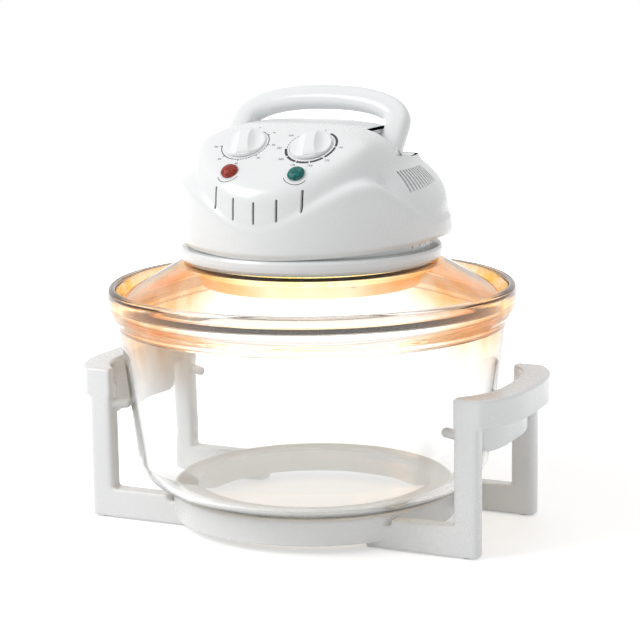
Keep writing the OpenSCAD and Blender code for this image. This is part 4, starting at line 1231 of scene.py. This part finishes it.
@dataclass
class Stand:
    """Base ring and the two grip frames with their posts and pads."""

    ring_radius: float = 118.5
    ring_low: float = 7.0
    ring_high: float = 28.0
    arm_y: float = 74.5
    arm_width: float = 15.5
    arm_top: float = 25.0
    post_x: float = 172.0
    post: tuple[float, float] = (20.5, 15.5)
    grip_x: float = 195.0
    grip_top: float = 127.0
    grip_height: float = 23.0
    lip_low: float = 80.0
    lip_half: float = 52.0
    pad_reach: float = 9.8
    low: float = 1.0

    def ring(self) -> None:
        """Base ring: a turned band with a rounded upper edge and a dished seat for the bowl."""
        r, z0, z1 = self.ring_radius, self.ring_low, self.ring_high
        seat = arc((96.0, 58.0), (50.5, 32.35), -62.0, -88.0, 10)
        outer = rounded([(97.0, z0, 0.5), (r, z0, 1.2), (r, z1, 3.2), (r - 4.0, z1, 0.4)], 7)
        seat = seat[seat[:, 0] < r - 4.0]
        profile = np.vstack([outer, seat, [[97.0, 25.6]]])
        settle(turned("base_ring_band", profile, 256), "white", "stand", "white_plastic", "base_ring")

    def _edges(self, y: Array) -> tuple[Array, Array]:
        """Outer and inner edge of the bowed grip at the distance y from its middle.

        outer = a + b (1 - (y/76)^3)^0.83 and inner = c - d (y/66)^3.3, both flat past the posts.
        """
        away = np.abs(y)
        bow = np.maximum(1.0 - (away / (self.arm_y + 1.5)) ** 3, 0.0) ** 0.83
        outer = self.post_x - 1.0 + (self.grip_x - self.post_x + 1.0) * bow
        inner = self.post_x - self.post[0] * np.minimum(away / (self.arm_y - 8.5), 1.0) ** 3.3
        return outer, inner

    def _grip(self) -> Array:
        """Plan of the bowed grip, counted anticlockwise."""
        y = np.linspace(-self.arm_y, self.arm_y, 73)
        outer, inner = self._edges(y)
        return np.vstack([np.column_stack([outer, y]), np.column_stack([inner[::-1], y[::-1]])])

    def _lip(self, surface: Surface) -> None:
        """Adds the lip under the grip, 5 mm thick, whose two lower corners are round."""
        y = np.linspace(-self.lip_half, self.lip_half, 61)
        inner = self._edges(y)[1]
        into = np.maximum(np.abs(y) - (self.lip_half - 9.0), 0.0)
        low = self.lip_low + 9.0 - np.sqrt(np.maximum(81.0 - into ** 2, 0.0))
        top = np.full_like(y, self.grip_top - self.grip_height + 2.0)
        rows = [np.stack([x, y, z], -1) for x, z in ((inner, low), (inner, top), (inner + 5.0, top),
                                                     (inner + 5.0, low))]
        surface.grid(np.stack(rows, 1), False, True, True, True, flip=True)

    def _frame(self) -> Surface:
        """Right grip frame as overlapping closed forms, to be fused."""
        surface = Surface("grip_frame_right")
        mid_x = self.post_x - self.post[0] / 2
        hw, hd = self.post[0] / 2, self.post[1] / 2
        for side in (-1.0, 1.0):
            y_mid = side * (self.arm_y - hd)
            post = rounded([(mid_x - hw, y_mid - hd, 5.0), (mid_x + hw, y_mid - hd, 5.0),
                            (mid_x + hw, y_mid + hd, 5.0), (mid_x - hw, y_mid + hd, 5.0)])
            surface.prism(post, self.low, self.grip_top - 14.0)
            y0 = side * (self.arm_y - self.arm_width / 2)
            half = self.arm_width / 2
            arm = np.array([(100.0, y0 - half), (mid_x, y0 - half), (mid_x, y0 + half), (100.0, y0 + half)])
            surface.prism(arm, self.low, self.arm_top)
            tongue = np.array([(78.0, y0 - half), (101.0, y0 - half), (101.0, y0 + half), (78.0, y0 + half)])
            surface.prism(tongue, self.low, 20.0)
        surface.prism(self._grip(), self.grip_top - self.grip_height, self.grip_top)
        self._lip(surface)
        return surface

    def frames(self) -> None:
        """Fuses each grip frame, rounds it by smoothing and dresses it."""
        for side, node in ((1.0, "side_frame_right"), (-1.0, "side_frame_left")):
            surface = self._frame()
            if side < 0.0:
                surface.placed(MIRROR)
                surface.faces = [f[:, ::-1] for f in surface.faces]
            surface.name = "grip_" + node
            piece = surface.build()
            fuse = piece.modifiers.new("fuse", "REMESH")
            fuse.mode = "VOXEL"
            fuse.voxel_size = 1.25 * METRE
            soften = piece.modifiers.new("soften", "SMOOTH")
            soften.factor = 0.5
            soften.iterations = 9
            applied(piece, 60.0)
            settle(piece, "white", "stand", "white_plastic", node)

    def pads(self) -> None:
        """Round-ended pads on the inner faces of the posts."""
        surface = Surface("post_pads")
        profile = np.vstack([[(ON_AXIS, -2.0)], [(4.0, -2.0)],
                             arc((0.0, self.pad_reach), (4.0, 4.0), 0.0, 89.5, 12)])
        for side in (0, 1):
            for y in (-1.0, 1.0):
                pad = Surface("pad").grid(lathe_points(profile, 40).transpose(1, 0, 2),
                                          False, True, True, True)
                pad.placed(shift(self.post_x - self.post[0], y * (self.arm_y - self.post[1] / 2), 97.0)
                           @ turn_z(y * 23.8)
                           @ np.array(Matrix.Rotation(math.radians(-90.0), 4, "Y")))
                if side:
                    pad.placed(MIRROR)
                surface._add(np.vstack(pad.points), pad.faces)
        piece = surface.build(50.0)
        fix_normals(piece)
        settle(piece, "pad", "stand", "grey_rubber", "bowl_pads")

    def build(self) -> None:
        """Makes every visible piece of the stand."""
        self.ring()
        self.frames()
        self.pads()


class CarriedNodes:
    """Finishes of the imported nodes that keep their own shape."""

    FINISH = {
        "feet": "foot", "stand_screws": "steel", "lid_seal": "seal", "lower_ring": "white",
        "clamp_collar": "bright", "collar_screws": "steel", "reflector": "bright", "halogen_lamp": "quartz",
        "lamp_caps": "ceramic", "lamp_clips": "steel", "fan_guard": "tray", "guard_screws": "steel",
        "heat_shield": "board", "shield_screws": "steel", "thermal_cutout": "black",
        "motor_stator": "lamination", "motor_coil": "copper", "motor_brackets": "plated",
        "motor_rotor": "fan", "motor_shaft": "steel",
        "circulation_fan": "fan", "cooling_fan": "fan", "fan_nut": "steel", "control_bracket": "plated",
        "timer_body": "cream", "timer_shaft": "steel", "thermostat_body": "cream",
        "thermostat_shaft": "steel",
        "pilot_lamps": "pilot", "handle_hubs": "white", "handle_pins": "steel", "handle_brackets": "plated",
        "safety_switch": "black", "switch_plunger": "red", "power_inlet": "black", "inlet_pins": "brass",
    }

    @classmethod
    def dress(cls, frame: dict) -> None:
        """Assigns a finish to each carried node."""
        for node, finish in cls.FINISH.items():
            Finishes.dress(frame["nodes"][node], finish)
        LOG.info("%d carried nodes dressed", len(cls.FINISH))


# The studio


def facing(place: tuple[float, float, float], target: tuple[float, float, float]) -> Matrix:
    """Matrix at a place, in metres, whose -Z points at the target."""
    aim = (Vector(target) - Vector(place)).to_track_quat("-Z", "Y").to_matrix().to_4x4()
    return Matrix.Translation(place) @ aim


@dataclass
class Studio:
    """Floor, world, lamps and camera."""

    azimuth: float = 25.0
    elevation: float = 12.6
    distance: float = 1.7
    focal_pixels: float = 2047.0
    image_pixels: float = 640.0
    target_height: float = 0.100
    look_at: tuple[float, float, float] = (0.0056, 0.0026, 0.1655)
    roll: float = -0.75
    white: float = 1.0
    ambient: float = 0.57
    key_watts: float = 22.0

    def camera(self) -> None:
        """Places the camera on its ring about the axis and points it at the middle of the photo."""
        a, e = math.radians(self.azimuth), math.radians(self.elevation)
        back = Vector((math.sin(a) * math.cos(e), -math.cos(a) * math.cos(e), math.sin(e)))
        place = Vector((0.0, 0.0, self.target_height)) + back * self.distance
        data = bpy.data.cameras.new("camera")
        data.lens = 36.0 * self.focal_pixels / self.image_pixels
        data.clip_end = 50.0
        camera = bpy.data.objects.new("camera", data)
        bpy.context.scene.collection.objects.link(camera)
        roll = Matrix.Rotation(math.radians(self.roll), 4, "Z")
        camera.matrix_world = facing(place, self.look_at) @ roll
        bpy.context.scene.camera = camera

    @staticmethod
    def _seen(w: Wiring) -> bpy.types.NodeSocket:
        """1 for rays from the camera, mirrors and glass, 0 for the rest."""
        path = w.add("ShaderNodeLightPath")
        some = w.math("MAXIMUM", path.outputs["Is Camera Ray"], path.outputs["Is Glossy Ray"])
        return w.math("MAXIMUM", some, path.outputs["Is Transmission Ray"])

    def world(self) -> None:
        """World: white where it is seen, softer where it lights."""
        world = bpy.data.worlds.new("studio")
        w = emptied(world)
        strength = w.math("ADD", self.ambient, w.math("MULTIPLY", self._seen(w), self.white - self.ambient))
        sky = w.add("ShaderNodeBackground", None, Color=(*WHITE, 1.0), Strength=strength)
        w.add("ShaderNodeOutputWorld", None, Surface=sky.outputs[0])
        bpy.context.scene.world = world

    def floor(self) -> None:
        """Pale floor that keeps the shadow and is lifted to white where it is seen."""
        ring = np.array([0.0, 1.0, 2.0, 4.0, 8.0])[:, None] * 1000.0
        a = np.linspace(0.0, 2 * np.pi, 64, endpoint=False)[None, :]
        points = np.stack([ring * np.cos(a), ring * np.sin(a), 0.0 * ring * a], -1)
        floor = Surface("floor").grid(points, False, True, flip=False).build()
        material = bpy.data.materials.new("floor")
        w = emptied(material)
        diffuse = w.add("ShaderNodeBsdfDiffuse", None, Color=(0.9, 0.9, 0.9, 1.0))
        away = w.vector("LENGTH", w.place())
        far = w.math("ADD", 0.42, w.math("MULTIPLY", w.ramp(away, 0.25, 0.9), 0.6))
        lift = w.add("ShaderNodeEmission", None, Color=(*WHITE, 1.0),
                     Strength=w.math("MULTIPLY", self._seen(w), far))
        both = w.add("ShaderNodeAddShader")
        w.feed(both, 0, diffuse.outputs[0])
        w.feed(both, 1, lift.outputs[0])
        w.add("ShaderNodeOutputMaterial", None, Surface=both.outputs[0])
        floor.data.materials.append(material)

    @staticmethod
    def _lamp(name: str, place: tuple, size: float, watts: float) -> None:
        """Adds a square area lamp that faces the middle of the object."""
        data = bpy.data.lights.new(name, "AREA")
        data.shape = "SQUARE"
        data.size = size
        data.energy = watts
        data.color = WHITE
        lamp = bpy.data.objects.new(name, data)
        bpy.context.scene.collection.objects.link(lamp)
        lamp.matrix_world = facing(place, (0.0, 0.0, 0.17))

    def build(self) -> None:
        """Sets up everything around the object."""
        self.camera()
        self.world()
        self.floor()
        self._lamp("key", (-1.35, -1.25, 1.55), 1.1, self.key_watts)
        self._lamp("top", (0.1, 0.3, 2.3), 1.6, 5.0)
        bpy.context.scene.view_settings.view_transform = "Standard"


def main() -> None:
    """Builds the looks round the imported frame, in order, and logs each step."""
    logging.basicConfig(level=logging.INFO, format="%(message)s")
    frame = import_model()
    Studio().build()
    CarriedNodes.dress(frame)
    Glassware().build()
    Head().build()
    CarryHandle().build()
    Stand().build()
    LOG.info("all pieces built")


if __name__ == "__main__":
    main()
